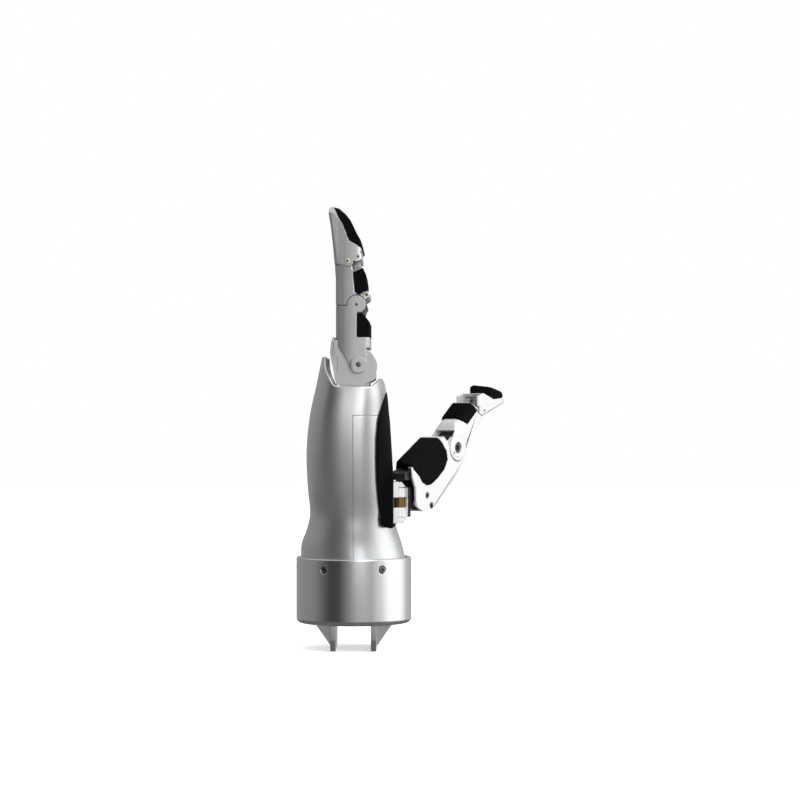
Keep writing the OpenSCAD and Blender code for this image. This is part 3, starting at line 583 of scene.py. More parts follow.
@dataclass
class Workshop:
    """Turns outlines, grids and copies of CAD nodes into finished, rounded pieces."""

    palette: Palette
    made: list[str] = field(default_factory=list)
    round_angle: float = math.radians(32)
    sharp_angle: float = math.radians(38)
    flat_angle: float = math.radians(0.6)
    weld: float = 4e-6
    speck: float = 2e-6

    def apply(self, obj: Object) -> Object:
        """Turns the object's modifiers into plain mesh, and removes them."""
        bpy.context.view_layer.update()
        graph = bpy.context.evaluated_depsgraph_get()
        seen = obj.evaluated_get(graph)
        mesh = bpy.data.meshes.new_from_object(seen, preserve_all_data_layers=True, depsgraph=graph)
        obj.modifiers.clear()
        obj.data = mesh
        return obj

    def soften(self, obj: Object, radius: float, segments: int = 2, weighted: bool = False) -> Object:
        """Rounds an object's sharp edges and gives it smooth shading.

        Args:
            obj: The object to finish.
            radius: Width of the rounding in millimetres.
            segments: Steps across the rounding.
            weighted: Whether the edges' own bevel weights say what is rounded.

        Returns:
            The same object with its modifiers applied.
        """
        if radius > 0:
            round_off = obj.modifiers.new("round", "BEVEL")
            round_off.width = radius * MM
            round_off.segments = segments
            round_off.limit_method = "WEIGHT" if weighted else "ANGLE"
            round_off.angle_limit = self.round_angle
            round_off.use_clamp_overlap = False
            round_off.miter_outer = "MITER_ARC"
            round_off.harden_normals = False
            self.apply(obj)
        with edited(obj.data) as bm:
            for face in bm.faces:
                face.smooth = True
            for edge in bm.edges:
                joined = len(edge.link_faces) == 2
                edge.smooth = joined and edge.calc_face_angle(0) < self.sharp_angle
        shade = obj.modifiers.new("even", "WEIGHTED_NORMAL")
        shade.keep_sharp = True
        shade.weight = 80
        return self.apply(obj)

    def finish(self, obj: Object, finish: str, body: str, *nodes: str) -> Object:
        """Dresses a piece, lets it ride, and says which nodes it stands for.

        Args:
            obj: The piece.
            finish: Name of its finish.
            body: CAD body that it moves with.
            *nodes: CAD nodes that it stands for.

        Returns:
            The same object.
        """
        self.palette.dress(obj, finish)
        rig.ride(obj, body)
        if nodes:
            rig.replaces(obj, *nodes)
        self.made.append(obj.name)
        LOG.info("piece %s on %s, %d faces", obj.name, body, len(obj.data.polygons))
        return obj

    def block(self, name: str, bm: BMesh, radius: float, finish: str, body: str) -> Object:
        """Makes a finished, rounded piece that stands for no node.

        Args:
            name: Name of the piece.
            bm: Its shape, which is freed.
            radius: Width of the rounding in millimetres.
            finish: Name of its finish.
            body: CAD body that it moves with.

        Returns:
            The piece.
        """
        return self.finish(self.soften(object_of(name, bm), radius), finish, body)

    def from_node(
        self,
        node: str,
        finish: str,
        radius: float,
        segments: int = 2,
        crown: Crown | None = None,
        cuts: tuple[Spot, ...] = (),
    ) -> Object:
        """Makes a rounded, smoothly shaded piece from a copy of a CAD node and stands it in.

        Args:
            node: The CAD node.
            finish: Name of its finish.
            radius: Width of the rounding on its edges, in millimetres.
            segments: Steps across the rounding.
            crown: How its flat sides fall away towards the back, if they do.
            cuts: Planes, as place and direction, past which the copy is cut away.

        Returns:
            The finished piece.
        """
        source = frame["nodes"][node]
        bm = bmesh.new()
        bm.from_mesh(source.data)
        bmesh.ops.remove_doubles(bm, verts=bm.verts, dist=self.weld)
        bmesh.ops.dissolve_degenerate(bm, dist=self.speck, edges=bm.edges)
        bmesh.ops.dissolve_limit(bm, angle_limit=self.flat_angle, verts=bm.verts, edges=bm.edges)
        for place, away in cuts:
            cut(bm, place, away, clear=True)
        if crown:
            crown.press(bm)
        obj = self.soften(object_of(f"{node}.form", bm), radius, segments)
        return self.finish(obj, finish, source["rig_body"], node)


def spread_evenly(points: np.ndarray, count: int) -> np.ndarray:
    """Resamples a polyline at even distances.

    Args:
        points: The polyline's points, one a row.
        count: How many points to return.

    Returns:
        The new points, ends included.
    """
    steps = np.r_[0, np.cumsum(np.linalg.norm(np.diff(points, axis=0), axis=1))]
    at = np.linspace(0, steps[-1], count)
    return np.stack([np.interp(at, steps, points[:, k]) for k in range(points.shape[1])], axis=1)


def grid_mesh(bm: BMesh, rows: np.ndarray) -> None:
    """Adds quads over a grid of points to a bmesh.

    Args:
        bm: The bmesh.
        rows: Points of shape (rows, columns, 3), in metres.
    """
    verts = [[bm.verts.new(p) for p in row] for row in rows]
    for low, high in zip(verts, verts[1:]):
        for a, b, c, d in zip(low, low[1:], high[1:], high):
            bm.faces.new((a, b, c, d))


def prism(outline: Profile, y0: float, y1: float, turn: Matrix | None = None) -> BMesh:
    """Extrudes a side-view outline across the hand.

    Args:
        outline: (x, z) points in millimetres.
        y0: First face along Y in millimetres.
        y1: Last face along Y in millimetres.
        turn: Where the prism goes, or None to leave it in place.

    Returns:
        A closed bmesh with outward faces.
    """
    bm = bmesh.new()
    near = [bm.verts.new(mm(x, y0, z)) for x, z in outline]
    far = [bm.verts.new(mm(x, y1, z)) for x, z in outline]
    bm.faces.new(near)
    bm.faces.new(list(reversed(far)))
    for i in range(len(outline)):
        j = (i + 1) % len(outline)
        bm.faces.new((near[j], near[i], far[i], far[j]))
    if turn:
        bm.transform(turn)
    bmesh.ops.recalc_face_normals(bm, faces=bm.faces)
    return bm


# ---------- palm ----------


@dataclass
class Palm:
    """The housing: a lofted back shell, a front shell and the pad that wraps the front."""

    shop: Workshop
    neck_r: float = 32.1
    neck_z: float = 35.8
    collar_z: float = 40.0
    wall: float = 2.0
    seam_z: float = 126.0
    seam_half: float = 0.06
    pad_t: float = 1.6
    pad_gap: float = 0.12
    top_z: float = 162.0
    level_step: float = 0.5
    samples: int = 900
    join: float = 2e-5
    rim_angle: float = math.radians(50)

    def __post_init__(self) -> None:
        """Lays out the housing's stations (height, back, front, half width, squareness) and edges."""
        n = self.neck_r
        self.stations = np.array([
            (self.neck_z, n, n, n, 2.0), (self.collar_z + 7.5, n - 0.2, n - 2.8, n, 2.0),
            (57.0, 28.6, 26.2, n + 0.6, 2.1), (66.0, 26.7, 24.2, 33.4, 2.3),
            (82.0, 28.0, 22.9, 36.0, 2.6), (105.0, 28.6, 21.5, 39.5, 2.9),
            (self.seam_z, 26.5, 20.2, 42.0, 3.2), (143.3, 22.7, 19.2, 43.0, 3.4),
            (153.5, 20.6, 14.7, 42.5, 3.4), (self.top_z, 18.9, 10.0, 39.0, 3.2),
        ])
        s = self.stations
        last = len(s) - 1
        ends = [(s[max(i - 1, 0)], s[min(i + 1, last)]) for i in range(last + 1)]
        self.slopes = np.array([(b[1:] - a[1:]) / (b[0] - a[0]) for a, b in ends])
        self.levels = np.arange(self.neck_z, self.top_z + self.level_step, self.level_step)
        self.rim = np.array([
            (-17.2, 161.2), (-16.9, 156), (-15.9, 152.2), (-14.4, 149.1), (-12.9, 146.2),
            (-11.3, 144.3), (-9.3, 143.4), (-7.0, 143.3), (9.7, 143.3), (11.4, 143.6), (12.9, 144.4),
            (14.3, 145.6), (15.5, 147.1), (16.4, 148.3), (40.0, 148.3),
        ])
        self.pad_side = np.array([
            (60.0, 17.9), (64.3, 17.7), (69.0, 16.8), (74.4, 16.1), (87.0, 15.1), (99.6, 14.8),
            (112.3, 15.1), (125.0, 16.5), (131.5, 18.1), (136.0, 18.0), (142.0, 17.0),
        ])
        self.pad_head = np.array([
            (17.0, 131.0), (18.2, 132.0), (18.8, 134.4), (19.3, 137.0), (19.8, 139.3), (20.2, 140.4),
            (40.0, 141.0),
        ])
        self.pad_foot = np.array([
            (17.7, 64.3), (18.7, 61.2), (20.2, 58.9), (22.2, 57.9), (24.0, 57.9), (25.2, 58.8),
            (26.2, 60.4), (27.2, 62.4), (40.0, 64.0),
        ])

    def section(self, z: float) -> np.ndarray:
        """Back, front, half width and squareness of the housing at a height."""
        s = self.stations
        z = min(max(z, s[0, 0]), s[-1, 0])
        i = min(int(np.searchsorted(s[:, 0], z, side="right")) - 1, len(s) - 2)
        h = s[i + 1, 0] - s[i, 0]
        t = (z - s[i, 0]) / h
        return ((1 + 2 * t) * (1 - t) ** 2 * s[i, 1:] + t * (1 - t) ** 2 * h * self.slopes[i]
                + t * t * (3 - 2 * t) * s[i + 1, 1:] + t * t * (t - 1) * h * self.slopes[i + 1])

    def angle_at(self, z: float, x: float, grow: float) -> float:
        """Angle parameter in degrees at which the housing's surface crosses a given x."""
        back, front, _, square = self.section(z)
        reach = (front + back + 2 * grow) / 2
        c = max(-1.0, min(1.0, (x - (front - back) / 2) / reach))
        return math.degrees(math.acos(math.copysign(abs(c) ** (square / 2), c)))

    def wrap(
        self,
        x_edge: Callable[[float], float],
        round_back: bool,
        columns: int,
        proud: Callable[[float], float] = lambda z: 0.0,
    ) -> np.ndarray:
        """Evenly spaced points round part of the housing at every level.

        Args:
            x_edge: The x at which the part ends on both sides, at a height.
            round_back: Whether the part runs round the back, not the front.
            columns: How many points to put at each level.
            proud: How far outside the housing it lies, at a height.

        Returns:
            Points of shape (levels, columns, 2) in millimetres.
        """
        out = []
        for z in self.levels:
            grow = proud(z)
            edge = self.angle_at(z, x_edge(z), grow)
            low, high = (edge, 360 - edge) if round_back else (-edge, edge)
            back, front, half, square = self.section(z)
            a = np.radians(np.linspace(low, high, self.samples))
            c, s = np.cos(a), np.sin(a)
            x = (front - back) / 2 + ((front + back) / 2 + grow) * np.sign(c) * np.abs(c) ** (2 / square)
            y = (half + grow) * np.sign(s) * np.abs(s) ** (2 / square)
            out.append(spread_evenly(np.stack([x, y], axis=1), columns))
        return np.array(out)

    def patch(self, ring: np.ndarray, low: np.ndarray, high: np.ndarray, rows: int) -> np.ndarray:
        """Grid over the housing between a lower and an upper edge.

        Args:
            ring: What wrap returned.
            low: Height of each column's lowest point.
            high: Height of each column's highest point.
            rows: How many rows of points.

        Returns:
            Points of shape (rows, columns, 3) in metres.
        """
        grid = np.zeros((rows, ring.shape[1], 3))
        for j in range(ring.shape[1]):
            z = np.linspace(low[j], high[j], rows)
            grid[:, j, 0] = np.interp(z, self.levels, ring[:, j, 0])
            grid[:, j, 1] = np.interp(z, self.levels, ring[:, j, 1])
            grid[:, j, 2] = z
        return grid * MM

    def edge_heights(self, ring: np.ndarray, curve: np.ndarray, start: float) -> np.ndarray:
        """Height at which each column of a ring meets a side-view curve.

        Args:
            ring: What wrap returned.
            curve: (x, z) points of the curve, from low x to high x.
            start: Height to start looking from.

        Returns:
            One height for each column.
        """
        found = np.full(ring.shape[1], start)
        for _ in range(40):
            x = np.array([np.interp(z, self.levels, ring[:, j, 0]) for j, z in enumerate(found)])
            found = found * 0.6 + 0.4 * np.interp(x, curve[:, 0], curve[:, 1])
        return found

    def shell(
        self, node: str, finish: str, grids: list[np.ndarray], thickness: float, rim: float, seam: float
    ) -> None:
        """Joins grids, gives them their wall, rounds their rims and stands them in for a node.

        Args:
            node: The CAD node, which rides on the palm.
            finish: Name of the finish.
            grids: Grids that share edges where they meet.
            thickness: Wall in millimetres.
            rim: Rounding of the edges above the level seam, in millimetres.
            seam: Rounding of the other edges.
        """
        bm = bmesh.new()
        for rows in grids:
            grid_mesh(bm, rows)
        bmesh.ops.remove_doubles(bm, verts=bm.verts, dist=self.join)
        bmesh.ops.recalc_face_normals(bm, faces=bm.faces)
        middles = [(f.normal, f.calc_center_median()) for f in bm.faces]
        if sum(normal.dot(Vector((at.x, at.y, 0))) for normal, at in middles) < 0:
            bmesh.ops.reverse_faces(bm, faces=bm.faces)
        obj = object_of(f"{node}.form", bm)
        wall = obj.modifiers.new("wall", "SOLIDIFY")
        wall.thickness = thickness * MM
        wall.offset = -1
        self.shop.apply(obj)
        with edited(obj.data) as bm:
            weight = bm.edges.layers.float.new("bevel_weight_edge")
            for edge in bm.edges:
                if len(edge.link_faces) == 2 and edge.calc_face_angle(0) > self.rim_angle:
                    high = sum(v.co.z for v in edge.verts) / 2 > (self.seam_z + 2) * MM
                    edge[weight] = 1.0 if high else seam / rim
        self.shop.soften(obj, rim, segments=3, weighted=True)
        self.shop.finish(obj, finish, "palm", node)

    def build(self) -> None:
        """Builds the two shells, the pad and the pad's seat behind the thumb's bracket."""
        silver, half, columns = "housing_satin_silver", self.seam_half, 200
        back = self.wrap(lambda z: -half, round_back=True, columns=columns)
        over = self.wrap(lambda z: -half, round_back=False, columns=columns)
        seam = np.full(columns, self.seam_z + half)
        grids = [self.patch(back, np.full(columns, self.neck_z), seam, rows=70)]
        for ring, start in ((back, 150), (over, 145)):
            grids.append(self.patch(ring, seam, self.edge_heights(ring, self.rim, start), rows=15))
        self.shell("palm_back_shell", silver, grids, self.wall, rim=0.8, seam=0.14)
        columns = 150
        front = self.wrap(lambda z: half, round_back=False, columns=columns)
        ends = (np.full(columns, z) for z in (self.neck_z, self.seam_z - half))
        grids = [self.patch(front, *ends, rows=60)]
        self.shell("palm_front_shell", silver, grids, self.wall, rim=0.8, seam=0.14)
        side, thick = self.pad_side, self.pad_t
        pad = self.wrap(
            lambda z: float(np.interp(z, side[:, 0], side[:, 1])),
            round_back=False,
            columns=90,
            proud=lambda z: float(np.interp(z, (57, 65, 122, 132, 141), (0.5, thick, thick, 1.0, 0.3))),
        )
        ends = (self.edge_heights(pad, c, z) for c, z in ((self.pad_foot, 60), (self.pad_head, 136)))
        grids = [self.patch(pad, *ends, rows=60)]
        self.shell("palm_pad", "grip_rubber", grids, thick - self.pad_gap, rim=0.6, seam=0.6)
        self.seat()

    def seat(self) -> None:
        """Builds the rubber seat between the pad and the thumb's bracket."""
        low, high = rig.box("thumb_bracket")
        face = low.x / MM - 0.05
        z0, z1 = low.z / MM - 0.6, high.z / MM + 0.2
        outline = [
            (16.0, z0 + 10), (16.2, z0 + 3.7), (17.6, z0 + 0.4), (19.4, z0 - 1.4), (21.4, z0 - 2.2),
            (face - 1.0, z0 - 1.6), (face, z0), (face, z1 - 0.3), (face - 2.5, z1 + 1.2), (17, z1 + 3),
        ]
        block = prism(outline, low.y / MM, high.y / MM)
        self.shop.block("palm_pad_seat", block, 0.5, "grip_rubber", "palm")


# ---------- what repeats ----------


@dataclass
class Repeater:
    """Geometry Nodes trees for what repeats: hardware at points, and ribs over a surface."""

    shop: Workshop
    rib_parts: int = 24
    ray: float = 0.05

    def __post_init__(self) -> None:
        """Builds the two trees once."""
        self.hardware = self.hardware_tree()
        self.ribs = self.rib_tree()

    def hardware_tree(self) -> NodeTree:
        """Puts a copy of one piece at every point of the mesh, along the point's own direction."""
        kit = Sockets.group("place_hardware", "Geometry")
        start, end = kit.open(
            {
                "Points": (GEOMETRY, None),
                "Piece": (OBJECT, None),
                "Scale": (FLOAT, 1.0),
                "Finish": (MATERIAL, None),
            },
            {"Geometry": GEOMETRY},
        )
        given = start.outputs
        facing = kit.add("GeometryNodeInputNamedAttribute", data_type="FLOAT_VECTOR", Name="facing")
        turn = kit.add("FunctionNodeAlignRotationToVector", axis="Z", Vector=facing.outputs["Attribute"])
        copies = kit.add(
            "GeometryNodeInstanceOnPoints",
            Points=given["Points"],
            Instance=kit.add("GeometryNodeObjectInfo", Object=given["Piece"]).outputs["Geometry"],
            Rotation=turn.outputs["Rotation"],
            Scale=given["Scale"],
        )
        self.close(kit, copies.outputs["Instances"], given["Finish"], end)
        return kit.tree

    def rib_tree(self) -> NodeTree:
        """Lays round ribs across a surface, one above the other, each following the surface."""
        kit = Sockets.group("ribs_on_pad", "Geometry")
        start, end = kit.open(
            {
                "Surface": (GEOMETRY, None),
                "Width": (FLOAT, 0.01),
                "Count": (INT, 12),
                "First": (VECTOR, (0, 0, 0)),
                "Step": (VECTOR, (0, 0, 0)),
                "Toward": (VECTOR, (-1, 0, 0)),
                "Across": (VECTOR, (0, 1, 0)),
                "Radius": (FLOAT, 0.0003),
                "Finish": (MATERIAL, None),
            },
            {"Geometry": GEOMETRY},
        )
        given = start.outputs
        part = kit.math("DIVIDE", given["Width"], float(self.rib_parts))
        offset = kit.add("ShaderNodeVectorMath", operation="SCALE", Vector=given["Across"], Scale=part)
        line = {"kind": "GeometryNodeMeshLine", "mode": "OFFSET"}
        count, first = self.rib_parts + 1, given["First"]
        rib = kit.add(**line, Count=count, Start_Location=first, Offset=offset.outputs[0])
        rungs = kit.add(**line, Count=given["Count"], Offset=given["Step"])
        copies = kit.add("GeometryNodeInstanceOnPoints", Points=rungs.outputs[0], Instance=rib.outputs[0])
        real = kit.add("GeometryNodeRealizeInstances", Geometry=copies.outputs["Instances"])
        cast = kit.add("GeometryNodeRaycast", Target_Geometry=given["Surface"], Ray_Length=self.ray)
        kit.give(cast, Ray_Direction=given["Toward"])
        hit = cast.outputs["Is Hit"]
        missed = kit.add("FunctionNodeBooleanMath", operation="NOT", Boolean=hit).outputs[0]
        held = kit.add("GeometryNodeStoreNamedAttribute", data_type="BOOLEAN", domain="POINT")
        kit.give(held, Geometry=real.outputs[0], Name="missed", Value=missed)
        settle = kit.add("GeometryNodeSetPosition", Geometry=held.outputs["Geometry"], Selection=hit)
        kit.give(settle, Position=cast.outputs["Hit Position"])
        lost = kit.add("GeometryNodeInputNamedAttribute", data_type="BOOLEAN", Name="missed")
        drop = kit.add("GeometryNodeDeleteGeometry", domain="POINT", Geometry=settle.outputs[0])
        kit.give(drop, Selection=lost.outputs["Attribute"])
        curve = kit.add("GeometryNodeMeshToCurve", Mesh=drop.outputs[0])
        profile = kit.add("GeometryNodeCurvePrimitiveCircle", Resolution=6, Radius=given["Radius"])
        tube = kit.add("GeometryNodeCurveToMesh", Curve=curve.outputs[0], Fill_Caps=True)
        kit.give(tube, Profile_Curve=profile.outputs[0])
        self.close(kit, tube.outputs[0], given["Finish"], end)
        return kit.tree

    def close(self, kit: Sockets, geometry: NodeSocket, finish: NodeSocket, end: Node) -> None:
        """Ends a tree in Realize Instances and Set Material.

        Args:
            kit: The tree's socket helper.
            geometry: What the tree has made.
            finish: The material that it gets.
            end: The group's output node.
        """
        real = kit.add("GeometryNodeRealizeInstances", Geometry=geometry)
        dressed = kit.add("GeometryNodeSetMaterial", Geometry=real.outputs[0], Material=finish)
        kit.give(end, Geometry=dressed.outputs[0])

    def run(self, name: str, mesh: Mesh, tree: NodeTree, **inputs: object) -> Object:
        """Runs one tree on a mesh and returns the result as a plain mesh object.

        Args:
            name: Name of the new object.
            mesh: Points or surface that the tree starts from.
            tree: The tree.
            **inputs: Values of the tree's inputs by name.

        Returns:
            The object, with the modifier removed.
        """
        obj = linked(name, mesh)
        maker = obj.modifiers.new("maker", "NODES")
        maker.node_group = tree
        identity = {i.name: i.identifier for i in tree.interface.items_tree if i.in_out == "INPUT"}
        for key, value in inputs.items():
            maker[identity[key]] = value
        return self.shop.apply(obj)

    def place(
        self,
        name: str,
        piece: Object,
        spots: list[Spot],
        finish: str,
        body: str,
        scale: float = 1.0,
        nodes: tuple[str, ...] = (),
    ) -> Object:
        """Places copies of a piece of hardware and lets them ride on one body.

        Args:
            name: Name of the new piece.
            piece: The hardware, drawn along +Z from the origin.
            spots: Place and outward direction of each copy.
            finish: Name of the finish.
            body: CAD body that they move with.
            scale: Size of the copies.
            nodes: CAD nodes that they stand for.

        Returns:
            The finished piece.
        """
        mesh = bpy.data.meshes.new(name)
        mesh.from_pydata([tuple(p) for p, _ in spots], [], [])
        facing = mesh.attributes.new("facing", "FLOAT_VECTOR", "POINT")
        facing.data.foreach_set("vector", [c for _, d in spots for c in d])
        look = self.shop.palette.materials[finish]
        obj = self.run(name, mesh, self.hardware, Piece=piece, Scale=scale, Finish=look)
        return self.shop.finish(obj, finish, body, *nodes)


# ---------- turned and pressed hardware ----------


def lathe(profile: Profile, hexed: tuple[int, ...] = ()) -> BMesh:
    """Turns a profile about +Z.

    Args:
        profile: (radius, height) in millimetres, from the axis at the bottom to the axis at the top.
        hexed: Indices of the rings that are hexagonal, with their radius across the flats.

    Returns:
        A closed bmesh with outward faces.
    """
    bm = bmesh.new()
    rings = []
    for i, (r, z) in enumerate(profile):
        if r == 0:
            rings.append([bm.verts.new(mm(0, 0, z))])
            continue
        ring = []
        for k in range(LATHE_STEPS):
            a = 2 * math.pi * k / LATHE_STEPS
            reach = r / math.cos((a % (math.pi / 3)) - math.pi / 6) if i in hexed else r
            ring.append(bm.verts.new(mm(reach * math.cos(a), reach * math.sin(a), z)))
        rings.append(ring)
    for low, high in zip(rings, rings[1:]):
        for k in range(LATHE_STEPS):
            a, b = k % len(low), (k + 1) % len(low)
            c, d = (k + 1) % len(high), k % len(high)
            bm.faces.new(list(dict.fromkeys((low[a], low[b], high[c], high[d]))))
    bmesh.ops.recalc_face_normals(bm, faces=bm.faces)
    return bm


@dataclass
class Hardware:
    """Screws, pins and their rings, each drawn once and placed wherever it is used."""

    shop: Workshop
    made: list[Object] = field(default_factory=list)

    def prototype(self, name: str, profile: Profile, hexed: tuple[int, ...] = ()) -> Object:
        """Draws one piece of hardware, smoothly shaded, to be removed once it has been placed."""
        obj = self.shop.soften(object_of(name, lathe(profile, hexed)), 0)
        self.made.append(obj)
        return obj

    def socket_screw(self, name: str, radius: float, height: float, shank: float) -> Object:
        """Draws a cap screw with a hexagonal socket; its head stands above the origin."""
        flat, stem, c = radius * 0.5, radius * 0.55, radius * 0.14
        profile = [
            (0, -shank), (stem, -shank), (stem, 0), (radius, 0), (radius, height - c),
            (radius - c * 0.4, height - c * 0.3), (radius - c, height), (flat + 0.12, height),
            (flat, height - 0.12), (flat, height * 0.25), (0, height * 0.1),
        ]
        return self.prototype(name, profile, (7, 8, 9))

    def pin(self, name: str, radius: float, length: float, dome: float = 0.2) -> Object:
        """Draws a pin with a slightly domed end at the origin and its length below it."""
        c = min(0.25, radius * 0.3)
        rim = [(radius, -c), (radius - c * 0.3, -c * 0.3), (radius - c, 0)]
        top = [(radius * 0.4, dome * 0.8), (0, dome)]
        return self.prototype(name, [(0, -length), (radius, -length), *rim, *top])

    def ring(self, name: str, inner: float, outer: float, length: float) -> Object:
        """Draws a flanged ring with a rounded outer edge, its face at the origin."""
        c = min(0.2, (outer - inner) * 0.4)
        rim = [(outer, -c), (outer - c * 0.3, -c * 0.3), (outer - c, 0)]
        bore = [(inner + 0.08, 0), (inner, -0.08), (inner, -length)]
        return self.prototype(name, [(inner, -length), (outer, -length), *rim, *bore])

    def clear(self) -> None:
        """Removes the prototypes."""
        for obj in self.made:
            bpy.data.objects.remove(obj)
        self.made.clear()


@dataclass
class Ribs:
    """Fine moulded ribs that cross a pad's gripping face."""

    shop: Workshop
    repeat: Repeater
    pitch: float = 0.85
    radius: float = 0.2
    margin: float = 1.2
    edge: float = 0.5
    height: float = 4.0

    def cover(self, node: str, along: Vector, facing: Vector) -> None:
        """Lays ribs over the pad that stands for a node.

        Args:
            node: The pad's CAD node.
            along: Unit direction in which the ribs follow each other.
            facing: Unit direction that the gripping face looks in.
        """
        across = facing.cross(along)
        mesh = bpy.data.objects[f"{node}.form"].data
        points = np.array([v.co for v in mesh.vertices])
        reaches = [points @ np.array(d) for d in (along, across, facing)]
        (foot, head), (left, right), (_, front) = [(float(r.min()), float(r.max())) for r in reaches]
        margin, edge, pitch = self.margin * MM, self.edge * MM, self.pitch * MM
        first = along * (foot + margin) + across * (left + edge) + facing * (front + self.height * MM)
        obj = self.repeat.run(
            f"{node}.ribs",
            mesh.copy(),
            self.repeat.ribs,
            Width=right - left - 2 * edge,
            Count=int((head - foot - 2 * margin) / pitch),
            First=tuple(first),
            Step=tuple(along * self.pitch * MM),
            Toward=tuple(-facing),
            Across=tuple(across),
            Radius=self.radius * MM,
            Finish=self.shop.palette.materials["grip_rubber"],
        )
        with edited(obj.data) as bm:
            for face in bm.faces:
                face.smooth = True
            bmesh.ops.recalc_face_normals(bm, faces=bm.faces)
        self.shop.finish(obj, "grip_rubber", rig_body(node))


@dataclass
class Assembly:
    """What a sub-assembly is built with."""

    shop: Workshop
    repeat: Repeater
    hardware: Hardware
    ribs: Ribs


@dataclass
class Wrist(Assembly):
    """The collar, its six radial screws and the two mounting plates."""

    collar_r: float = 35.0
    screw_z: float = 33.6
    screw_count: int = 6
    head: float = 2.2

    def build(self) -> None:
        """Builds the wrist's pieces."""
        self.shop.from_node("wrist_collar", "collar_turned_silver", 0.7, 3)
        self.shop.from_node("mounting_plates", "collar_turned_silver", 0.3)
        screw = self.hardware.socket_screw("collar_screw", 2.0, self.head, 5.0)
        spots = []
        for i in range(self.screw_count):
            a, r = 2 * math.pi * i / self.screw_count, self.collar_r - self.head
            place = mm(r * math.cos(a), r * math.sin(a), self.screw_z)
            spots.append((place, Vector((math.cos(a), math.sin(a), 0))))
        node = "collar_screws"
        self.repeat.place(f"{node}.form", screw, spots, "screw_polished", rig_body(node), nodes=(node,))


@dataclass
class Finger(Assembly):
    """One finger: shells, pads, links and the pins that show on its sides."""

    name: str
    y: float
    half_w: float = 8.3
    web_half: float = 6.4
    knuckle: Pair = (3.2, 156.2)
    middle: Pair = (2.1, 191.9)
    tip: Pair = (-3.1, 217.9)
    stop_pin: Pair = (3.3, 220.5)
    knob: Pair = (8.3, 197.8)
    link_pin: Pair = (2.8, 214.5)
    pad_foot: float = 223.6
    WEB = [
        (-11.4, 171.0), (-8.6, 171.0), (-5.4, 163.2), (-5.4, 146.0), (-9.2, 145.6), (-11.6, 154.8),
        (-12.1, 163.9),
    ]

    def ends(self, place: Pair, low: float, high: float) -> list[Spot]:
        """A place in side view at two heights across the finger, facing outwards."""
        x, z = place
        return [(mm(x, low, z), Vector((0, -1, 0))), (mm(x, high, z), Vector((0, 1, 0)))]

    def sides(self, place: Pair, proud: float) -> list[Spot]:
        """A place on both sides of the finger, so far outside them, facing outwards."""
        half = self.half_w + proud
        return self.ends(place, self.y - half, self.y + half)

    def build(self) -> None:
        """Builds the finger's pieces."""
        n, take = self.name, self.shop.from_node
        silver, rubber = "finger_blasted_silver", "grip_rubber"
        take(f"{n}_knuckle", silver, 0.3)
        for part in ("proximal_shell", "middle_shell", "tip_shell"):
            take(f"{n}_{part}", silver, 0.3, crown=Crown(self.y, self.half_w))
        for part in ("proximal_pad", "middle_pad"):
            take(f"{n}_{part}", rubber, 0.5, 3)
        foot = (mm(0, 0, self.pad_foot), Vector((0, 0, -1)))
        take(f"{n}_tip_pad", rubber, 0.3, cuts=(foot,))
        web = prism(self.WEB, self.y - self.web_half, self.y + self.web_half)
        self.shop.block(f"{n}_knuckle_web", web, 0.4, silver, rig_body(f"{n}_knuckle"))
        take(f"{n}_lower_link", "dark_steel", 0.2)
        take(f"{n}_upper_link", silver, 0.2)
        for part in ("proximal_pad", "middle_pad", "tip_pad"):
            self.ribs.cover(f"{n}_{part}", Vector((0, 0, 1)), Vector((1, 0, 0)))
        self.pins()

    def pins(self) -> None:
        """Places the axle ends, the brass pins in their rings and the knob."""
        n, kit = self.name, self.hardware
        axle = kit.pin("axle", 1.35, 2.0)
        dot = kit.pin("dot", 0.7, 2.0, 0.05)
        liner = kit.pin("liner", 5.5, 0.6, 0.02)
        collar = kit.ring("pin_ring", 0.85, 1.45, 0.6)
        brass = kit.pin("brass_pin", 0.82, 2.0, 0.12)
        low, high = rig.box(f"{n}_upper_link")
        link = self.ends(self.link_pin, low.y / MM - 0.05, high.y / MM + 0.05)
        steel, black, silver = "dark_steel", "motor_black", "finger_blasted_silver"
        rows = [
            ("knuckle_axle", axle, self.sides(self.knuckle, -0.5), steel, "proximal_shell", 1.0),
            ("middle_liner", liner, self.sides(self.middle, -0.45), silver, "proximal_shell", 1.0),
            ("link_axle", dot, link, steel, "upper_link", 0.75),
            ("middle_axle", dot, self.sides(self.middle, -0.02), black, "proximal_shell", 1.0),
        ]
        for names, place, node, scales in (
            (("tip_rings", "tip_axle"), self.tip, "middle_shell", (1.0, 1.0)),
            (("stop_rings", "stop_pins"), self.stop_pin, "tip_shell", (0.9, 0.9)),
            (("knob_ring", "knob_pin"), self.knob, "middle_shell", (1.15, 1.1)),
        ):
            rows += [
                (names[0], collar, self.sides(place, 0.12), "pin_ivory", node, scales[0]),
                (names[1], brass, self.sides(place, 0.1), "pin_brass", node, scales[1]),
            ]
        for part, piece, spots, finish, node, scale in rows:
            self.repeat.place(f"{n}_{part}", piece, spots, finish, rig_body(f"{n}_{node}"), scale)


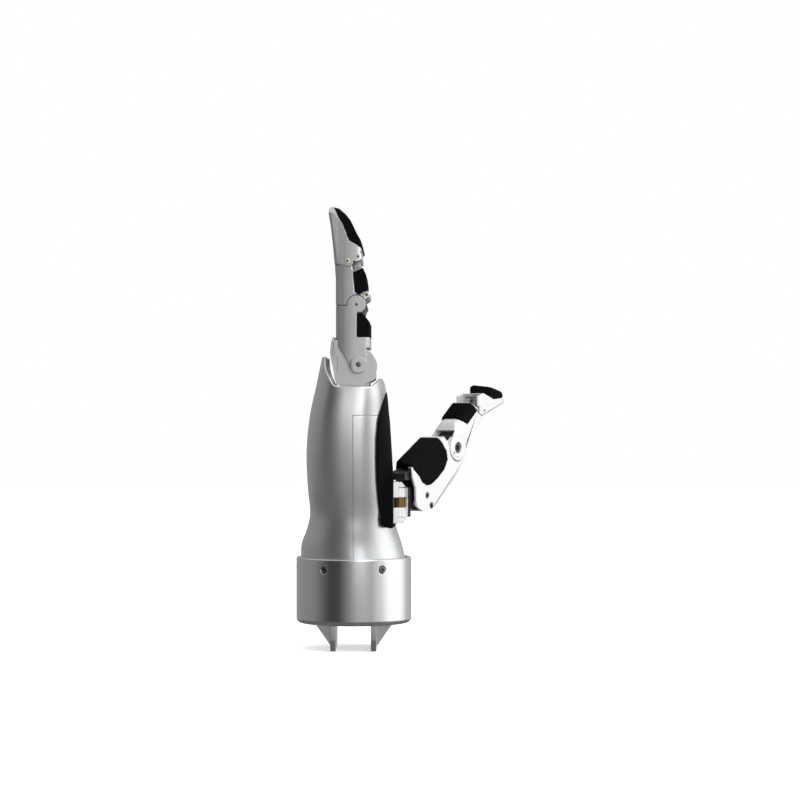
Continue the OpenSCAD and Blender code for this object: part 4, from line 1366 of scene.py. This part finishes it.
@dataclass
class Thumb(Assembly):
    """The thumb: bracket, yaw block, metacarpal, proximal piece and tip."""

    rise: float = 38.5
    tip_rise: float = 19.0
    half_w: float = 8.5
    block_half: float = 4.8
    KNUCKLE, TIP_AXIS = Vector((56.82, 18.56, 105.9)), Vector((74.1, 41.6, 128.8))
    MARK = Vector((63.4, 12.5, 100.45))
    AZIMUTH, NEAR = Vector((0.6, 0.8, 0)), Vector((0.8, -0.6, 0))
    BLOCK = [(0.5, 1.5), (7.5, 1.5), (7.5, 5.6), (6.4, 7.2), (1.8, 7.2), (0.5, 5.6)]
    PLAIN = (
        ("bush", "pin_brass", 0.2),
        ("yaw_shaft", "bright_steel", 0.2),
        ("motor", "motor_black", 0.3),
        ("pitch_arm", "motor_black", 0.3),
        ("screws", "dark_steel", 0.12),
        ("knuckle_pins", "dark_steel", 0.12),
        ("link", "bright_steel", 0.2),
    )

    def build(self) -> None:
        """Builds the thumb's pieces."""
        take = self.shop.from_node
        for part in ("bracket", "yaw_block", "metacarpal_shell", "proximal_shell", "tip_shell"):
            take(f"thumb_{part}", "thumb_bright_silver", 0.35, 3)
        for part in ("metacarpal_pad", "proximal_pad"):
            take(f"thumb_{part}", "grip_rubber", 0.5, 3)
        take("thumb_tip_pad", "grip_rubber", 0.4, 3, cuts=self.corners())
        for part, finish, radius in self.PLAIN:
            take(f"thumb_{part}", finish, radius)
        for part, rise in (("proximal_pad", self.rise), ("tip_pad", self.tip_rise)):
            self.ribs.cover(f"thumb_{part}", *self.axes(rise))
        self.details()

    def corners(self) -> tuple[Spot, ...]:
        """The planes that cut the two lower corners off the tip's pad, as place and direction."""
        base = self.TIP_AXIS + self.AZIMUTH * 2.4
        planes = []
        for side in (0.72, -0.72):
            away = self.AZIMUTH * -0.70 + self.NEAR * side
            planes.append((mm(*(base + self.NEAR * side * 4.5)), away.normalized()))
        return tuple(planes)

    def axes(self, rise: float) -> tuple[Vector, Vector]:
        """Direction along a piece that rises so many degrees, and its gripping direction."""
        c, s = math.cos(math.radians(rise)), math.sin(math.radians(rise))
        return self.AZIMUTH * c + Vector((0, 0, s)), -self.AZIMUTH * s + Vector((0, 0, c))

    def details(self) -> None:
        """Adds the dark block in the knuckle's window and the small axle ends."""
        black, body = "motor_black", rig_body("thumb_proximal_shell")
        along, facing = self.axes(self.rise)
        turn = Matrix((along, -self.NEAR, facing)).transposed().to_4x4()
        turn.translation = self.KNUCKLE * MM
        block = prism(self.BLOCK, -self.block_half, self.block_half, turn)
        self.shop.block("thumb_knuckle_block", block, 0.4, black, body)
        dot = self.hardware.pin("thumb_dot", 0.6, 2.0, 0.05)
        face = self.NEAR * (self.half_w + 0.02)
        ends = [(mm(*(self.TIP_AXIS + face)), self.NEAR), (mm(*(self.TIP_AXIS - face)), -self.NEAR)]
        self.repeat.place("thumb_tip_axle", dot, ends, black, body)
        self.repeat.place("thumb_knuckle_mark", dot, [(mm(*self.MARK), self.NEAR)], black, body)


@dataclass
class Inside:
    """What shows only through gaps: the frame, the motors and the board."""

    shop: Workshop
    LOOKS = {
        "palm_frame": "frame_machined",
        "finger_motors": "motor_black",
        "control_board": "board_green",
    }

    def build(self) -> None:
        """Dresses the CAD nodes, whose shapes stay."""
        for node, finish in self.LOOKS.items():
            self.shop.palette.dress(frame["nodes"][node], finish, declare=False)


# ---------- studio ----------


@dataclass
class Studio:
    """Camera, lights, world and floor."""

    aim: Pair = (28.07, 135.2)
    distance: float = 1570.0
    lens: float = 116.0
    sensor: float = 36.0
    around: tuple[Pair, ...] = (
        (-180, 0.40), (-120, 0.36), (-85, 0.32), (-62, 0.15), (-48, 0.05), (-28, 0.06), (-8, 0.34),
        (12, 0.58), (55, 0.62), (72, 1.3), (88, 1.9), (110, 1.7), (130, 0.7), (180, 0.42),
    )

    def build(self) -> None:
        """Sets up the studio."""
        scene = bpy.context.scene
        scene.view_settings.view_transform = "Standard"
        data = bpy.data.cameras.new("camera")
        data.lens = self.lens
        data.sensor_width = self.sensor
        camera = linked("camera", data)
        camera.location = mm(self.aim[0], -self.distance, self.aim[1])
        camera.rotation_euler = (math.pi / 2, 0, 0)
        scene.camera = camera
        self.light("side_softbox", (0.9, -0.5, 0.5), (0.8, 1.4), 1.5)
        self.light("top_softbox", (0.1, -0.2, 1.2), (1.0, 1.0), 1.0)
        self.light("front_softbox", (0.22, -0.42, 0.36), (0.28, 0.28), 1.0)
        self.light("palm_panel", (0.08, -0.36, 0.085), (0.17, 0.08), 0.125, (0.02, 0.0, 0.11))
        self.world(scene)
        self.floor()

    def light(
        self,
        name: str,
        place: Triple,
        size: Pair,
        power: float,
        target: Triple = (0.03, 0.0, 0.12),
    ) -> None:
        """Adds a soft rectangular light.

        Args:
            name: Name of the light.
            place: Place in metres.
            size: Width and height in metres.
            power: Power in watts.
            target: The point that it looks at, in metres.
        """
        data = bpy.data.lights.new(name, "AREA")
        data.shape = "RECTANGLE"
        data.size, data.size_y = size
        data.energy = power
        lamp = linked(name, data)
        lamp.location = place
        lamp.rotation_euler = (Vector(target) - Vector(place)).to_track_quat("-Z", "Y").to_euler()
        lamp.visible_camera = False

    def world(self, scene: Scene) -> None:
        """Surrounds the hand with soft light that varies round the horizon; the camera sees white."""
        world = bpy.data.worlds.new("studio")
        world.use_nodes = True
        scene.world = world
        kit = Sockets(world.node_tree)
        for node in list(world.node_tree.nodes):
            world.node_tree.nodes.remove(node)
        x, y, z = kit.add("ShaderNodeSeparateXYZ", Vector=kit.place("Generated")).outputs
        turn = kit.math("ARCTAN2", x, kit.math("MULTIPLY", y, -1.0))
        ramp = kit.add("ShaderNodeValToRGB")
        kit.feed(ramp.inputs[0], kit.math("ADD", kit.math("DIVIDE", turn, 2 * math.pi), 0.5))
        stops = ramp.color_ramp.elements
        strongest = max(v for _, v in self.around)
        while len(stops) < len(self.around):
            stops.new(0.5)
        for stop, (angle, value) in zip(stops, self.around):
            stop.position = (angle + 180) / 360
            stop.color = (value / strongest,) * 3 + (1,)
        sky = kit.remap(z, (0.25, 0.95), (0, 0.5))
        under = kit.remap(z, (-0.10, -0.32), (0, 0.95))
        ground = kit.mix(under, ramp.outputs[0], (0.09, 0.09, 0.09))
        soft = kit.mix(sky, ground, (0.75, 0.75, 0.75))
        light = kit.add("ShaderNodeBackground", Strength=strongest, Color=soft)
        white = kit.add("ShaderNodeBackground", Strength=1.0, Color=(1, 1, 1, 1))
        seen = kit.add("ShaderNodeLightPath").outputs["Is Camera Ray"]
        choose = kit.add("ShaderNodeMixShader")
        for slot, value in zip(choose.inputs, (seen, light.outputs[0], white.outputs[0])):
            kit.feed(slot, value)
        kit.add("ShaderNodeOutputWorld", Surface=choose.outputs[0])

    def floor(self) -> None:
        """Lays a pale floor under the hand's lowest point."""
        bm = bmesh.new()
        down = Matrix.Translation(mm(0, 0, CAD_BOX[0][2] / MM))
        bmesh.ops.create_grid(bm, x_segments=8, y_segments=8, size=3.0, matrix=down)
        obj = object_of("floor", bm)
        made = bpy.data.materials.new("floor_paper")
        made.use_nodes = True
        kit = Sockets(made.node_tree)
        noise = kit.add(NOISE, Vector=kit.place(), Scale=600.0, Detail=4.0)
        tint = kit.mix(noise.outputs[0], (0.93, 0.93, 0.93), (0.97, 0.97, 0.97))
        kit.give(
            made.node_tree.nodes["Principled BSDF"],
            Base_Color=tint,
            Roughness=0.9,
            Specular_IOR_Level=0.1,
            Emission_Color=tint,
            Emission_Strength=0.6,
        )
        obj.data.materials.append(made)
        obj.visible_glossy = False
        obj.visible_diffuse = False
        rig.stage(obj)


def main() -> None:
    """Builds the studio and every sub-assembly, and reports the pieces."""
    logging.basicConfig(level=logging.INFO, format="%(name)s: %(message)s")
    Studio().build()
    shop = Workshop(Palette())
    repeat = Repeater(shop)
    hardware = Hardware(shop)
    means = (shop, repeat, hardware, Ribs(shop, repeat))
    Palm(shop).build()
    Wrist(*means).build()
    for i, name in enumerate(FINGERS):
        Finger(*means, name, FINGER_PITCH * (i - 1.5)).build()
    Thumb(*means).build()
    Inside(shop).build()
    hardware.clear()
    LOG.info("%d pieces in all", len(shop.made))
    sizes = {"cad": [list(c) for c in CAD_BOX], "visual": [list(c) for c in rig.bounds()]}
    with open("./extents.json", "w", encoding="utf-8") as out:
        json.dump(sizes, out)


if __name__ == "__main__":
    main()
